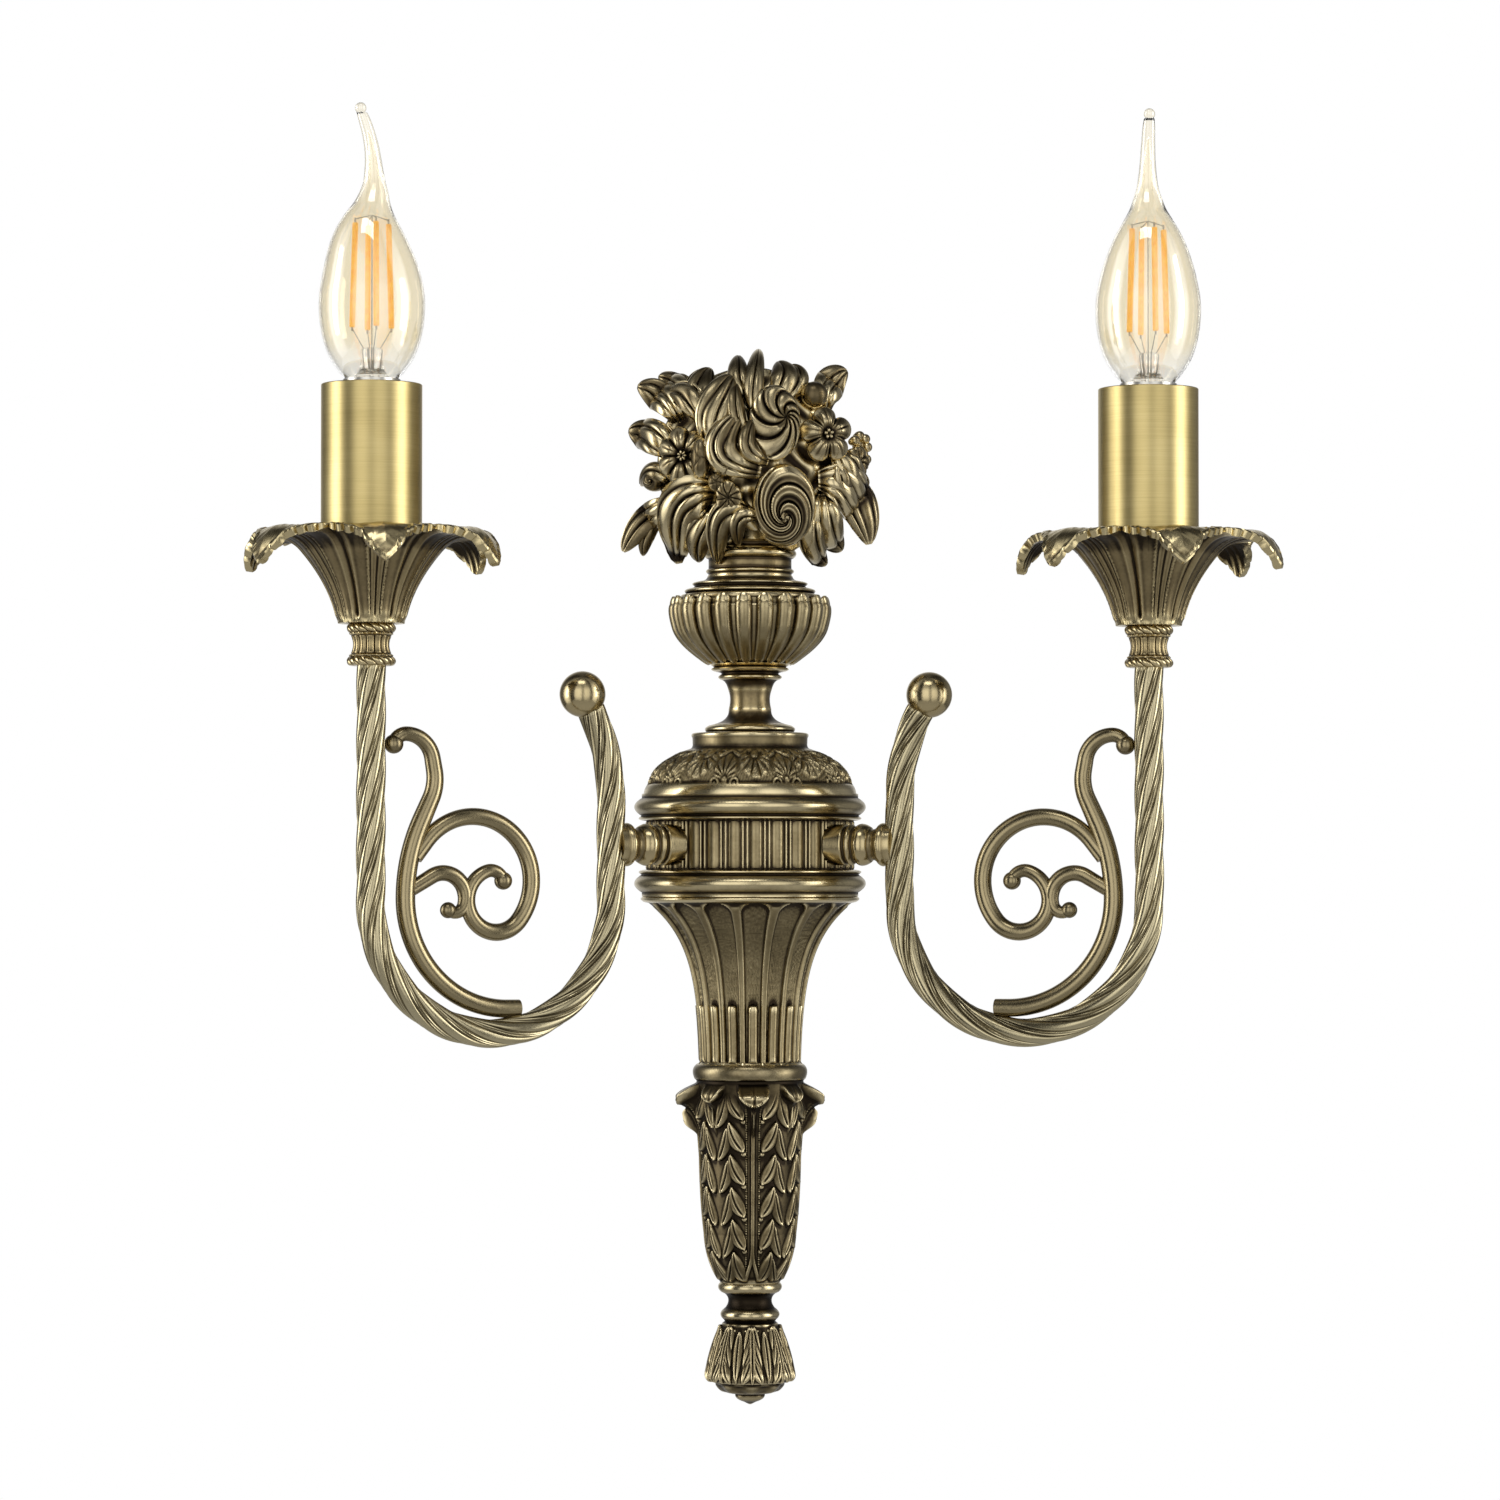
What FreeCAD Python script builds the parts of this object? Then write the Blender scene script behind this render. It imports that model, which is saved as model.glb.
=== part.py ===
"""Double arm wall sconce: cast and turned brass, two candle lights on twisted U arms.

Millimetres, +Z up. The origin lies on the wall plane at mid height of the drum, +X runs to the
right along the wall and +Y into it, so the sconce stands out towards -Y.
"""

import FreeCAD, Part
import math
import os

V = FreeCAD.Vector
UP = V(0, 0, 1)

# ---------------------------------------------------------------- driving dimensions

# castings of the body, threaded on one rod
AXIS_OUT = 6.0  # wall plane to the common axis of the castings
WALL = 3.2  # wall of the hollow castings
WEB = 3.0  # end plates of the hollow castings
ROD_R = 3.0
ROD_GAP = 0.2  # rod in its bores
ROD_GRIP = 11.0  # thread length in bouquet and finial

DRUM_H = 35.0
DRUM_R = 35.9  # over the reeds
DRUM_BORE_R = 30.0
TORUS_R = 39.6
TORUS_H = 6.0
DRUM_FILLET_R = 38.0  # thin rings between torus and reeds
DRUM_LAND_R = 37.0
DRUM_LAND_H = 1.4
REED_BAND_H = 19.0
REED_COUNT = 30
REED_DEPTH = 1.1

DOME_H = 23.5
DOME_R = 35.6
DOME_RISE = 14.7  # height of the domed part
PLINTH_R = 21.3
PLINTH_TOP_R = 17.9

FOOT_H = 21.0
FOOT_BASE_R = 11.5
FOOT_WAIST_R = 7.0
FOOT_RING_R = 9.6

URN_H = 30.0
URN_R = 26.8
URN_BASE_R = 15.5
URN_LIP_R = 24.0
URN_NECK_R = 14.0
GADROON_COUNT = 22
GADROON_DEPTH = 1.5

TRUMPET_H = 57.0
TRUMPET_MOUTH_R = 37.6
TRUMPET_NECK_R = 16.7
TRUMPET_FLARE = 14.5  # length over which the flare falls to a third
RIM_H = 2.0  # plain rim above the flutes
FLUTE_COUNT = 15
FLUTE_DEPTH = 1.8
CABLE_H = 19.0  # the lower stretch, where each flute holds a cable
CABLE_RISE = 0.5

SHEATH_H = 74.5
SHEATH_TOP_R = 18.3
SHEATH_MID_R = 16.6
SHEATH_END_R = 10.4
SHEATH_RING_R = 19.3
SHEATH_RING_H = 5.5
LEAF_TIP_R = 25.5  # reach of the drooping leaf tips
LEAF_TIP_COUNT = 4

FINIAL_H = 41.5
FINIAL_RING_R = 10.4
FINIAL_NECK_R = 7.5
FINIAL_CUP_R = 15.2
FINIAL_CUP_H = 18.0
FINIAL_LEAVES = 8
TIP_R = 0.8  # flat on the very end

# bouquet
BOUQUET_H = 78.0
BOUQUET_NECK_H = 8.0
BOUQUET_RING_R = 15.8
CORE_R = 34.0  # the ball that the flowers lie on
CORE_BACK = 10.0  # its centre lies this far behind the wall plane
CORE_UP = 38.0  # its centre above the urn
ROSE_R = 12.0
FRUIT_R = 5.2

# arms: each hangs in an upright plane that swings forward of the wall
ARM_SWING = 24.0  # degrees between the wall and the plane of an arm
ARM_CROSS = 10.4  # the two planes cross this far in front of the castings' axis
ARM_R = 4.9  # over the twisted strands
ARM_GROOVE_R = 4.3
ARM_BORE_R = 2.3
STRANDS = 8
TWIST_PITCH = 92.0
TWIST_STEP = 40.0  # degrees of twist between two sections
ARM_IN_U = 53.1  # from the crossing to the inner leg
ARM_BEND_R = 43.5  # the U's radius on its centre line
ARM_BEND_Z = -19.0  # height of the U's centre
ARM_TOP_Z = 58.2
CURL_Z = 15.0  # above this the inner leg curls outwards
CURL_R = 64.0
CURL_RISE = 35.2  # from CURL_Z up to the ball's centre
BALL_R = 7.7

# coupling between drum and arm
COUPLING_R = 6.95
COUPLING_WAIST_R = 6.0
COUPLING_LAP = 0.9  # how deep the flare is cut over the arm
SEAT_U = 27.6  # the flat that is cut into the drum
BOSS_R = 8.5
BOSS_U = 19.5  # inner face of the boss inside the drum
NIPPLE_R = 3.5
NIPPLE_BORE_R = 2.3
NUT_AF = 12.0
NUT_H = 4.0
NIPPLE_PROUD = 1.5  # thread beyond the nut
SEAT_GAP = 0.02  # between seated curved faces

# scroll
SCROLL_R = 3.2
VOLUTE_R = 2.9
TENDRIL_R = 2.6
SCROLL_BALL_R = 3.7
STEM_IN = 53.2  # the stem's foot, inwards of the candle's axis
VOLUTE_IN = 15.6
VOLUTE_Z = -4.4
TENDRIL_IN = 13.6
TENDRIL_Z = -15.3

# candle side
COLLAR_H = 13.8
COLLAR_R = 7.7
COLLAR_WAIST_R = 5.9
BOBECHE_BASE_R = 10.9
BOBECHE_T = 2.0
CREST_R = 33.5
CREST_RISE = 28.4  # from the cup's base to the underside of the crest
PETAL_R = 46.2  # reach of the petals' tips
PETAL_DROP = 14.0  # from the crest down to the tips
PETAL_VALLEY_R = 34.0
PETAL_COUNT = 6
PETAL_TURN = 7.0  # degrees that a petal stands off straight ahead
SLEEVE_R = 16.55
SLEEVE_T = 1.05
SLEEVE_L = 59.9
SLEEVE_RISE = 18.5  # cup's base to the sleeve's foot
SLEEVE_GAP = 0.35
HOLDER_R = 13.4
HOLDER_BASE_R = 6.2
HOLDER_BASE_H = 14.0
HOLDER_H = 70.0
HOLDER_GRIP = 8.0  # thread length of the nipple in the holder
SHELL_T = 0.5
SHELL_H = 21.0
BULB_GAP = 0.2  # cap in the socket shell
CONTACT_R = 2.4
CONTACT_H = 1.6
CONTACT_GAP = 0.1  # between the two centre contacts

# bulb, a slim flame on a small screw cap
CAP_R = 6.9
CAP_H = 18.0
SKIRT_R = 9.4
SKIRT_H = 8.0
SKIRT_T = 0.6
SKIRT_LAP = 0.8  # how deep the glass sits in the skirt
BULB_R = 17.5
BULB_RISE = 23.0  # cap to the widest place
FLAME_RISE = 65.0  # cap to the root of the tail
TAIL_ROOT_R = 4.1
TAIL_R = 2.0
TAIL_L = 24.5
TAIL_BEND = 4.0
BEAD_R = 2.3  # bead where the tail was sealed
GLASS_T = 0.8
FILAMENT_R = 0.9
FILAMENT_L = 34.0
FILAMENT_OUT = 4.5
FILAMENT_UP = 17.5  # cap to the filaments' feet
STEM_R = 3.6
WIRE_R = 0.3

LEAD_R = 1.6
LEAD_BEND_R = 3.0

# inside the drum
BRACKET_FIT = 0.6  # between the tabs' outer corners and the drum's bore
BRACKET_H = 16.0
BRACKET_T = 2.0
TAB_OUT = 15.0  # how far the bent tabs reach off the wall
WALL_HOLE_SPACING = 36.0
WALL_HOLE_R = 2.25
CABLE_HOLE_X = 8.5
CABLE_HOLE_R = 3.6
GRUB_R = 2.0
GRUB_L = 12.0
GRUB_OUT = 9.0  # the grub screws' axis off the wall
GRUB_GAP = 0.2
BLOCK_W = 20.0
BLOCK_D = 13.0
BLOCK_H = 21.0
BLOCK_OUT = 13.0  # wall plane to the back of the terminal block
POLE_SCREW_R = 1.5

# ---------------------------------------------------------------- derived places

DRUM_TOP = DRUM_H / 2
DRUM_BOTTOM = -DRUM_H / 2
DOME_TOP = DRUM_TOP + DOME_H
FOOT_TOP = DOME_TOP + FOOT_H
URN_TOP = FOOT_TOP + URN_H
TRUMPET_BOTTOM = DRUM_BOTTOM - TRUMPET_H
SHEATH_BOTTOM = TRUMPET_BOTTOM - SHEATH_H
FINIAL_BOTTOM = SHEATH_BOTTOM - FINIAL_H

CANDLE_U = ARM_IN_U + 2 * ARM_BEND_R
COLLAR_TOP = ARM_TOP_Z + COLLAR_H
CREST_Z = COLLAR_TOP + CREST_RISE
HOLDER_Z = COLLAR_TOP + BOBECHE_T
HOLDER_TOP = HOLDER_Z + HOLDER_H
SLEEVE_Z = COLLAR_TOP + SLEEVE_RISE
SLEEVE_TOP = SLEEVE_Z + SLEEVE_L
BRACKET_W = 2 * math.sqrt((DRUM_BORE_R - BRACKET_FIT) ** 2 - (TAB_OUT - AXIS_OUT) ** 2)
CAP_TOP = HOLDER_TOP
CAP_BOTTOM = CAP_TOP - CAP_H
CAP_TIP = CAP_BOTTOM - CONTACT_H
SKIRT_TOP = CAP_TOP + SKIRT_H

SIDES = {"right": -ARM_SWING, "left": 180 + ARM_SWING}
TAIL_TURNS = {"right": ARM_SWING - 90, "left": 0}  # how far each bulb is screwed round

os.makedirs("parts", exist_ok=True)

# ---------------------------------------------------------------- helpers


def save(name, shape):
    """Write one node, which has to be made of sound solids."""
    if not shape.isValid() or not shape.Solids:
        raise ValueError(name + " is not a valid solid")
    shape.exportStep("parts/" + name + ".step")
    box = shape.BoundBox
    print(f"{name:24s} solids {len(shape.Solids)}  volume {shape.Volume:9.1f}  "
          f"x {box.XMin:7.1f} {box.XMax:7.1f}  y {box.YMin:7.1f} {box.YMax:7.1f}  "
          f"z {box.ZMin:7.1f} {box.ZMax:7.1f}")


def outline(start, *steps):
    """Edges in the XZ plane: a step is a point, or a pair of a point passed and a point reached."""
    edges = []
    here = V(start[0], 0, start[1])
    for step in steps:
        if isinstance(step[0], tuple):
            middle = V(step[0][0], 0, step[0][1])
            there = V(step[1][0], 0, step[1][1])
            edges.append(Part.Arc(here, middle, there).toShape())
        else:
            there = V(step[0], 0, step[1])
            edges.append(Part.makeLine(here, there))
        here = there
    return edges


def bow(start, middle, end):
    """Shallow curve from start to end that passes the middle point halfway."""
    curve = Part.BezierCurve()
    curve.setPoles([start, middle * 2 - (start + end) * 0.5, end])
    return curve.toShape()


def outward(shape):
    """The same solid with its faces pointing out."""
    return shape if shape.Volume > 0 else shape.reversed()


def turned(start, *steps):
    """Solid of revolution about Z of a closed outline given as radius and height."""
    edges = outline(start, *steps, start)
    face = Part.Face(Part.Wire(edges))
    return outward(face.revolve(V(0, 0, 0), UP, 360))


def rod(radius, low, high):
    return Part.makeCylinder(radius, high - low, V(0, 0, low))


def bar(radius, start, end):
    """Round bar along the arm's plane, from one place on it to another."""
    run = V(end[0] - start[0], 0, end[1] - start[1])
    return Part.makeCylinder(radius, run.Length, V(start[0], 0, start[1]), run)


def scalloped_ring(height, edge_r, middle_r, count, share, turn=0.0):
    """Closed wire of flutes or reeds: arcs from edge_r over middle_r, with lands between."""
    pitch = 2 * math.pi / count
    land = pitch * (1 - share)

    def at(radius, angle):
        return V(radius * math.sin(angle), -radius * math.cos(angle), height)

    edges = []
    for index in range(count):
        centre = index * pitch + math.radians(turn)
        left = centre - pitch / 2 + land / 2
        right = centre + pitch / 2 - land / 2
        edges.append(bow(at(edge_r, left), at(middle_r, centre), at(edge_r, right)))
        if land > 0:
            edges.append(bow(at(edge_r, right), at(edge_r, right + land / 2),
                             at(edge_r, right + land)))
    return Part.Wire(edges)


def loft(rings):
    return outward(Part.makeLoft(rings, True, False))


def against_wall(shapes, holes):
    """Casting of one or more forms about Z: moved onto its axis, flat at the wall plane, holed."""
    reach = 2 * TORUS_R
    room = Part.makeBox(2 * reach, reach, 4 * FINIAL_H - 2 * SHEATH_BOTTOM,
                        V(-reach, -reach + AXIS_OUT, FINIAL_BOTTOM - FINIAL_H))
    halves = [shape.common(room) for shape in shapes]
    body = halves[0].fuse(halves[1:]) if len(halves) > 1 else halves[0]
    for hole in holes:
        body = body.cut(hole)
    body.translate(V(0, -AXIS_OUT, 0))
    return body


def on_side(shape, turn):
    """Swing a piece from the plane of an arm to its side of the body."""
    piece = shape.copy()
    piece.rotate(V(0, 0, 0), UP, turn)
    piece.translate(V(0, -AXIS_OUT - ARM_CROSS, 0))
    return piece


def on_candle(shape):
    """Move a piece that was made about Z onto the candle's axis in the plane of an arm."""
    shape.translate(V(CANDLE_U, 0, 0))
    return shape


# ---------------------------------------------------------------- castings of the body


def rod_bore(low, high):
    return rod(ROD_R + ROD_GAP, low, high)


def make_drum():
    torus_in = TORUS_H * 0.45
    half_band = REED_BAND_H / 2
    torus_low = DRUM_TOP - DRUM_LAND_H - TORUS_H
    ring_mid = (half_band + torus_low) / 2

    def end_ring(sign):
        return turned(
            (DRUM_BORE_R, sign * half_band),
            (DRUM_FILLET_R - 0.4, sign * half_band),
            ((DRUM_FILLET_R, sign * ring_mid), (DRUM_FILLET_R - 0.4, sign * torus_low)),
            ((TORUS_R, sign * (torus_low + TORUS_H / 2)),
             (DRUM_LAND_R + 0.3, sign * (torus_low + TORUS_H))),
            (DRUM_LAND_R, sign * (torus_low + TORUS_H)),
            (DRUM_LAND_R, sign * DRUM_TOP),
            (DRUM_BORE_R, sign * DRUM_TOP),
        )

    band_wire = scalloped_ring(-half_band, DRUM_R - REED_DEPTH, DRUM_R, REED_COUNT, 0.7)
    band = Part.Face(band_wire).extrude(V(0, 0, REED_BAND_H))
    bore = rod(DRUM_BORE_R, -half_band, half_band)
    shell = band.cut(bore).fuse([end_ring(1), end_ring(-1)])
    shell.translate(V(0, -AXIS_OUT, 0))
    for turn in SIDES.values():
        boss = on_side(bar(BOSS_R, (BOSS_U, 0), (SEAT_U, 0)), turn)
        spotface = on_side(bar(COUPLING_R + SEAT_GAP, (SEAT_U, 0), (SEAT_U + BOSS_R, 0)), turn)
        hole = on_side(bar(NIPPLE_R, (BOSS_U - 1, 0), (SEAT_U + 1, 0)), turn)
        shell = shell.fuse(boss).cut(spotface).cut(hole)
    grub_hole = Part.makeCylinder(GRUB_R + GRUB_GAP, 2 * TORUS_R, V(-TORUS_R, -GRUB_OUT, 0), V(1, 0, 0))
    shell.translate(V(0, AXIS_OUT, 0))
    grub_hole.translate(V(0, AXIS_OUT, 0))
    return against_wall([shell], [grub_hole])


def make_dome():
    shoulder = DRUM_TOP + 1.5
    dome_edge = shoulder + DOME_RISE - 1.5
    step = DOME_TOP - 4.8
    body = turned(
        (0, DRUM_TOP),
        (DOME_R + 0.8, DRUM_TOP),
        ((DOME_R, shoulder - 0.4), (DOME_R - 0.3, shoulder + 1.5)),
        ((DOME_R - 4.4, shoulder + 8.0), (PLINTH_R + 0.9, dome_edge)),
        (PLINTH_R, dome_edge + 0.3),
        ((PLINTH_R + 0.2, (dome_edge + step) / 2), (PLINTH_R - 1.0, step)),
        (PLINTH_TOP_R, step + 0.4),
        ((PLINTH_TOP_R + 0.3, step + 2.0), (PLINTH_TOP_R - 1.6, step + 3.2)),
        (FOOT_BASE_R + 2.0, DOME_TOP),
        (0, DOME_TOP),
    )
    inner = DOME_R - WALL
    cavity = turned(
        (0, DRUM_TOP - 1),
        (inner, DRUM_TOP - 1),
        (inner, shoulder + 1.0),
        ((inner - 4.4, shoulder + 6.8), (PLINTH_R - WALL, dome_edge - WALL)),
        (PLINTH_R - WALL, step - WEB),
        (0, step - WEB),
    )
    return against_wall([body], [cavity, rod_bore(DRUM_TOP - 1, DOME_TOP + 1)])


def make_urn_foot():
    ring = FOOT_TOP - 8.6
    body = turned(
        (0, DOME_TOP),
        (FOOT_BASE_R, DOME_TOP),
        ((FOOT_WAIST_R + 0.9, DOME_TOP + 4.0), (FOOT_WAIST_R, DOME_TOP + 8.5)),
        (FOOT_WAIST_R + 0.4, ring - 0.8),
        (FOOT_RING_R - 0.6, ring - 0.8),
        ((FOOT_RING_R, ring), (FOOT_RING_R - 0.4, ring + 1.0)),
        ((FOOT_RING_R + 1.8, ring + 4.9), (URN_BASE_R, FOOT_TOP)),
        (0, FOOT_TOP),
    )
    return against_wall([body], [rod_bore(DOME_TOP - 1, FOOT_TOP + 1)])


def urn_radius(share):
    """Bowl of the urn: a quarter of an oval from its base to its widest place."""
    return URN_BASE_R + (URN_R - URN_BASE_R) * math.sin(math.pi / 2 * share) ** 0.8


def make_urn():
    bowl_h = URN_H * 0.6
    bowl_top = FOOT_TOP + bowl_h + 3.5
    shares = [0.0, 0.12, 0.3, 0.55, 0.8, 1.0]
    rings = []
    for share in shares:
        radius = urn_radius(share)
        deep = GADROON_DEPTH * min(1.0, 0.35 + 2.2 * share)
        height = FOOT_TOP + bowl_h * share
        rings.append(scalloped_ring(height, radius - deep, radius, GADROON_COUNT, 1.0,
                                    180 / GADROON_COUNT))
    rings.append(scalloped_ring(bowl_top, URN_LIP_R - GADROON_DEPTH, URN_LIP_R, GADROON_COUNT, 1.0,
                                180 / GADROON_COUNT))
    bowl = loft(rings)
    lip = turned(
        (0, bowl_top),
        (URN_LIP_R - GADROON_DEPTH - 0.4, bowl_top),
        ((URN_LIP_R - 0.6, bowl_top + 2.0), (URN_LIP_R - 3.4, bowl_top + 3.6)),
        (URN_NECK_R + 2.0, bowl_top + 5.4),
        (URN_NECK_R + 1.2, URN_TOP),
        (0, URN_TOP),
    )
    inner = URN_R - GADROON_DEPTH - WALL
    cavity = turned(
        (0, FOOT_TOP + WEB + 3),
        (URN_BASE_R - WALL, FOOT_TOP + WEB + 3),
        ((inner - 1.5, FOOT_TOP + bowl_h * 0.6), (inner, FOOT_TOP + bowl_h)),
        (inner - 2.5, bowl_top),
        (0, bowl_top),
    )
    return against_wall([bowl, lip], [cavity, rod_bore(FOOT_TOP - 1, URN_TOP + 1)])


def trumpet_radius(depth):
    """Radius of the flare at a depth below the drum."""
    return TRUMPET_NECK_R + (TRUMPET_MOUTH_R - TRUMPET_NECK_R) * math.exp(-depth / TRUMPET_FLARE)


def make_trumpet():
    flute_end = TRUMPET_H - CABLE_H

    def ring(depth, rise):
        radius = trumpet_radius(depth)
        return scalloped_ring(DRUM_BOTTOM - depth, radius, radius + rise, FLUTE_COUNT, 0.66)

    mouth = loft([ring(depth, -FLUTE_DEPTH) for depth in (RIM_H, 5.0, 9.5, 16.0, 25.0, flute_end)])
    rim = turned(
        (0, DRUM_BOTTOM),
        (TRUMPET_MOUTH_R, DRUM_BOTTOM),
        ((TRUMPET_MOUTH_R - 0.6, DRUM_BOTTOM - RIM_H / 2),
         (trumpet_radius(RIM_H) + 0.3, DRUM_BOTTOM - RIM_H)),
        (0, DRUM_BOTTOM - RIM_H),
    )
    cables = loft([ring(depth, CABLE_RISE) for depth in (flute_end, TRUMPET_H - CABLE_H / 2,
                                                         TRUMPET_H - 1.5)])
    foot = rod(trumpet_radius(TRUMPET_H) + CABLE_RISE, TRUMPET_BOTTOM, TRUMPET_BOTTOM + 1.5)
    inset = FLUTE_DEPTH + WALL

    def inner(depth):
        return (trumpet_radius(depth) - inset, DRUM_BOTTOM - depth)

    low = TRUMPET_H - WEB - 1.5
    cavity = turned(
        (0, DRUM_BOTTOM - WEB),
        inner(WEB),
        (inner(0.16 * TRUMPET_H), inner(0.32 * TRUMPET_H)),
        (inner(0.53 * TRUMPET_H), inner(low)),
        (0, DRUM_BOTTOM - low),
    )
    return against_wall([rim, mouth, cables, foot],
                        [cavity, rod_bore(TRUMPET_BOTTOM - 1, DRUM_BOTTOM + 1)])


def make_leaf_sheath():
    ring_end = TRUMPET_BOTTOM - SHEATH_RING_H
    body = turned(
        (0, TRUMPET_BOTTOM),
        (SHEATH_RING_R - 1.2, TRUMPET_BOTTOM),
        ((SHEATH_RING_R, TRUMPET_BOTTOM - SHEATH_RING_H / 2), (SHEATH_RING_R - 0.6, ring_end)),
        (SHEATH_TOP_R, ring_end),
        (SHEATH_MID_R, TRUMPET_BOTTOM - 0.55 * SHEATH_H),
        ((SHEATH_MID_R - 1.8, TRUMPET_BOTTOM - 0.84 * SHEATH_H), (SHEATH_END_R, SHEATH_BOTTOM)),
        (0, SHEATH_BOTTOM),
    )
    tips = []
    for index in range(LEAF_TIP_COUNT):
        tips.append(make_leaf_tip(360 / LEAF_TIP_COUNT * index, LEAF_TIP_R, ring_end, 8.5))
    cavity = turned(
        (0, TRUMPET_BOTTOM - WEB),
        (SHEATH_TOP_R - WALL, TRUMPET_BOTTOM - WEB),
        (SHEATH_MID_R - WALL, TRUMPET_BOTTOM - 0.55 * SHEATH_H),
        (SHEATH_END_R - WALL, SHEATH_BOTTOM + 3 * WEB),
        (0, SHEATH_BOTTOM + 3 * WEB),
    )
    return against_wall([body.fuse(tips)],
                        [cavity, rod_bore(SHEATH_BOTTOM - 1, TRUMPET_BOTTOM + 1)])


def make_leaf_tip(turn, reach, height, width):
    """Tip of a leaf that arches out of the stem and droops."""
    root = SHEATH_TOP_R - 3.0
    sections = []
    for share in (0.0, 0.35, 0.7, 1.0):
        radius = root + (reach - root) * math.sin(math.pi / 2 * share) ** 0.9
        top = height + 2.6 - 9.5 * share ** 2.2
        thick = 4.2 * (1 - 0.55 * share)
        half = width * (1 - 0.84 * share ** 1.6)
        left = V(-half, -radius, top - thick)
        right = V(half, -radius, top - thick)
        crown = V(0, -radius, top)
        below = V(0, -radius, top - thick - 0.6)
        sections.append(Part.Wire([bow(left, crown, right), bow(right, below, left)]))
    tip = loft(sections)
    tip.rotate(V(0, 0, 0), UP, turn)
    return tip


def make_finial():
    neck_top = SHEATH_BOTTOM - 3.4
    ring_top = SHEATH_BOTTOM - 8.6
    cup_top = SHEATH_BOTTOM - 14.0
    cup_end = cup_top - FINIAL_CUP_H
    stem = turned(
        (0, SHEATH_BOTTOM),
        (FINIAL_RING_R, SHEATH_BOTTOM),
        ((FINIAL_RING_R + 0.3, SHEATH_BOTTOM - 1.5), (FINIAL_RING_R - 0.9, neck_top)),
        ((FINIAL_NECK_R, neck_top - 2.8), (FINIAL_RING_R - 1.4, ring_top)),
        ((FINIAL_RING_R - 0.6, ring_top - 1.9), (FINIAL_RING_R - 1.4, ring_top - 3.8)),
        (FINIAL_RING_R - 0.3, cup_top),
        (0, cup_top),
    )
    rings = []
    for share, radius in ((0.0, 9.8), (0.25, 11.6), (0.6, 13.9), (0.88, FINIAL_CUP_R),
                          (1.0, FINIAL_CUP_R - 0.9)):
        rings.append(scalloped_ring(cup_top - FINIAL_CUP_H * share, radius - 1.3, radius,
                                    FINIAL_LEAVES, 1.0, 180 / FINIAL_LEAVES))
    cup = loft(rings)
    knob = turned(
        (0, cup_end),
        (FINIAL_CUP_R - 3.0, cup_end),
        ((FINIAL_CUP_R - 5.6, cup_end - 3.6), (4.2, cup_end - 5.6)),
        ((3.2, cup_end - 8.0), (TIP_R, FINIAL_BOTTOM)),
        (0, FINIAL_BOTTOM),
    )
    thread = rod(ROD_R, SHEATH_BOTTOM - ROD_GRIP, SHEATH_BOTTOM + 1)
    return against_wall([stem, cup, knob], [thread])


def make_tie_rod():
    shape = rod(ROD_R, SHEATH_BOTTOM - ROD_GRIP, URN_TOP + ROD_GRIP)
    shape.translate(V(0, -AXIS_OUT, 0))
    return shape


# ---------------------------------------------------------------- bouquet

# leaves: root and tip as x, height above the urn and depth off the wall, then width
LEAVES = [
    ((1, 55, 10), (3.0, 78.0, 7), 5.5),
    ((-2, 52, 8), (-5.0, 74.5, 5), 6.5),
    ((6, 52, 8), (10.5, 73.2, 5), 6.5),
    ((-9, 48, 12), (-13.5, 70.2, 6), 9.0),
    ((-20, 48, 9), (-31.2, 69.4, 4), 7.0),
    ((-20, 44, 7), (-38.6, 65.0, 3), 8.0),
    ((-22, 40, 8), (-41.7, 49.7, 4), 10.0),
    ((-22, 32, 8), (-36.9, 30.9, 4), 7.5),
    ((-14, 24, 10), (-42.6, 8.7, 4), 9.5),
    ((-12, 20, 14), (-25.1, 5.6, 6), 10.0),
    ((-5, 24, 18), (-9.0, 4.5, 11), 7.5),
    ((22, 50, 9), (33.8, 70.6, 4), 8.5),
    ((20, 42, 8), (38.8, 43.6, 4), 15.0),
    ((20, 32, 8), (36.0, 27.0, 4), 12.0),
    ((14, 26, 10), (41.0, 13.0, 4), 13.5),
    ((10, 20, 12), (25.5, 4.5, 5), 11.0),
]
# flowers: x, height above the urn, depth of the centre off the wall and radius
FLOWERS = [
    (-24.3, 41.0, 19, 9.5),
    (24.6, 47.5, 19, 9.0),
    (-9.0, 30.0, 28, 6.5),
    (-13.0, 58.0, 17, 9.0),
    (34.5, 44.0, 10, 7.5),
]
FLOWER_PETAL_COUNTS = [6, 5, 5, 5, 5]
ROSES = [(10.2, 19.2, 24, 1.0), (8.5, 51.4, 21, 0.95), (-7.4, 43.4, 23.6, 0.72)]
FRUIT = (20.7, 61.5, 13)


def from_plan(place):
    """Place of the bouquet: x, height above the urn, depth off the wall."""
    return V(place[0], -place[2], URN_TOP + place[1])


def make_leaf(root, tip, width):
    """Pointed leaf with a crowned front, lofted from lens-shaped sections."""
    start = from_plan(root)
    end = from_plan(tip)
    run = end - start
    along = V(run)
    along.normalize()
    across = along.cross(V(0, -1, 0))
    across.normalize()
    front = across.cross(along)
    sections = []
    for share, breadth in ((0.0, 0.55), (0.35, 1.0), (0.7, 0.82), (0.92, 0.4), (1.0, 0.1)):
        centre = start + run * share
        half = width / 2 * breadth
        rise = 1.0 + 2.6 * breadth * math.sin(math.pi * (0.15 + 0.7 * share))
        left = centre - across * half
        right = centre + across * half
        sections.append(Part.Wire([bow(left, centre + front * rise, right),
                                   bow(right, centre - front * 1.2, left)]))
    return loft(sections)


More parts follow.
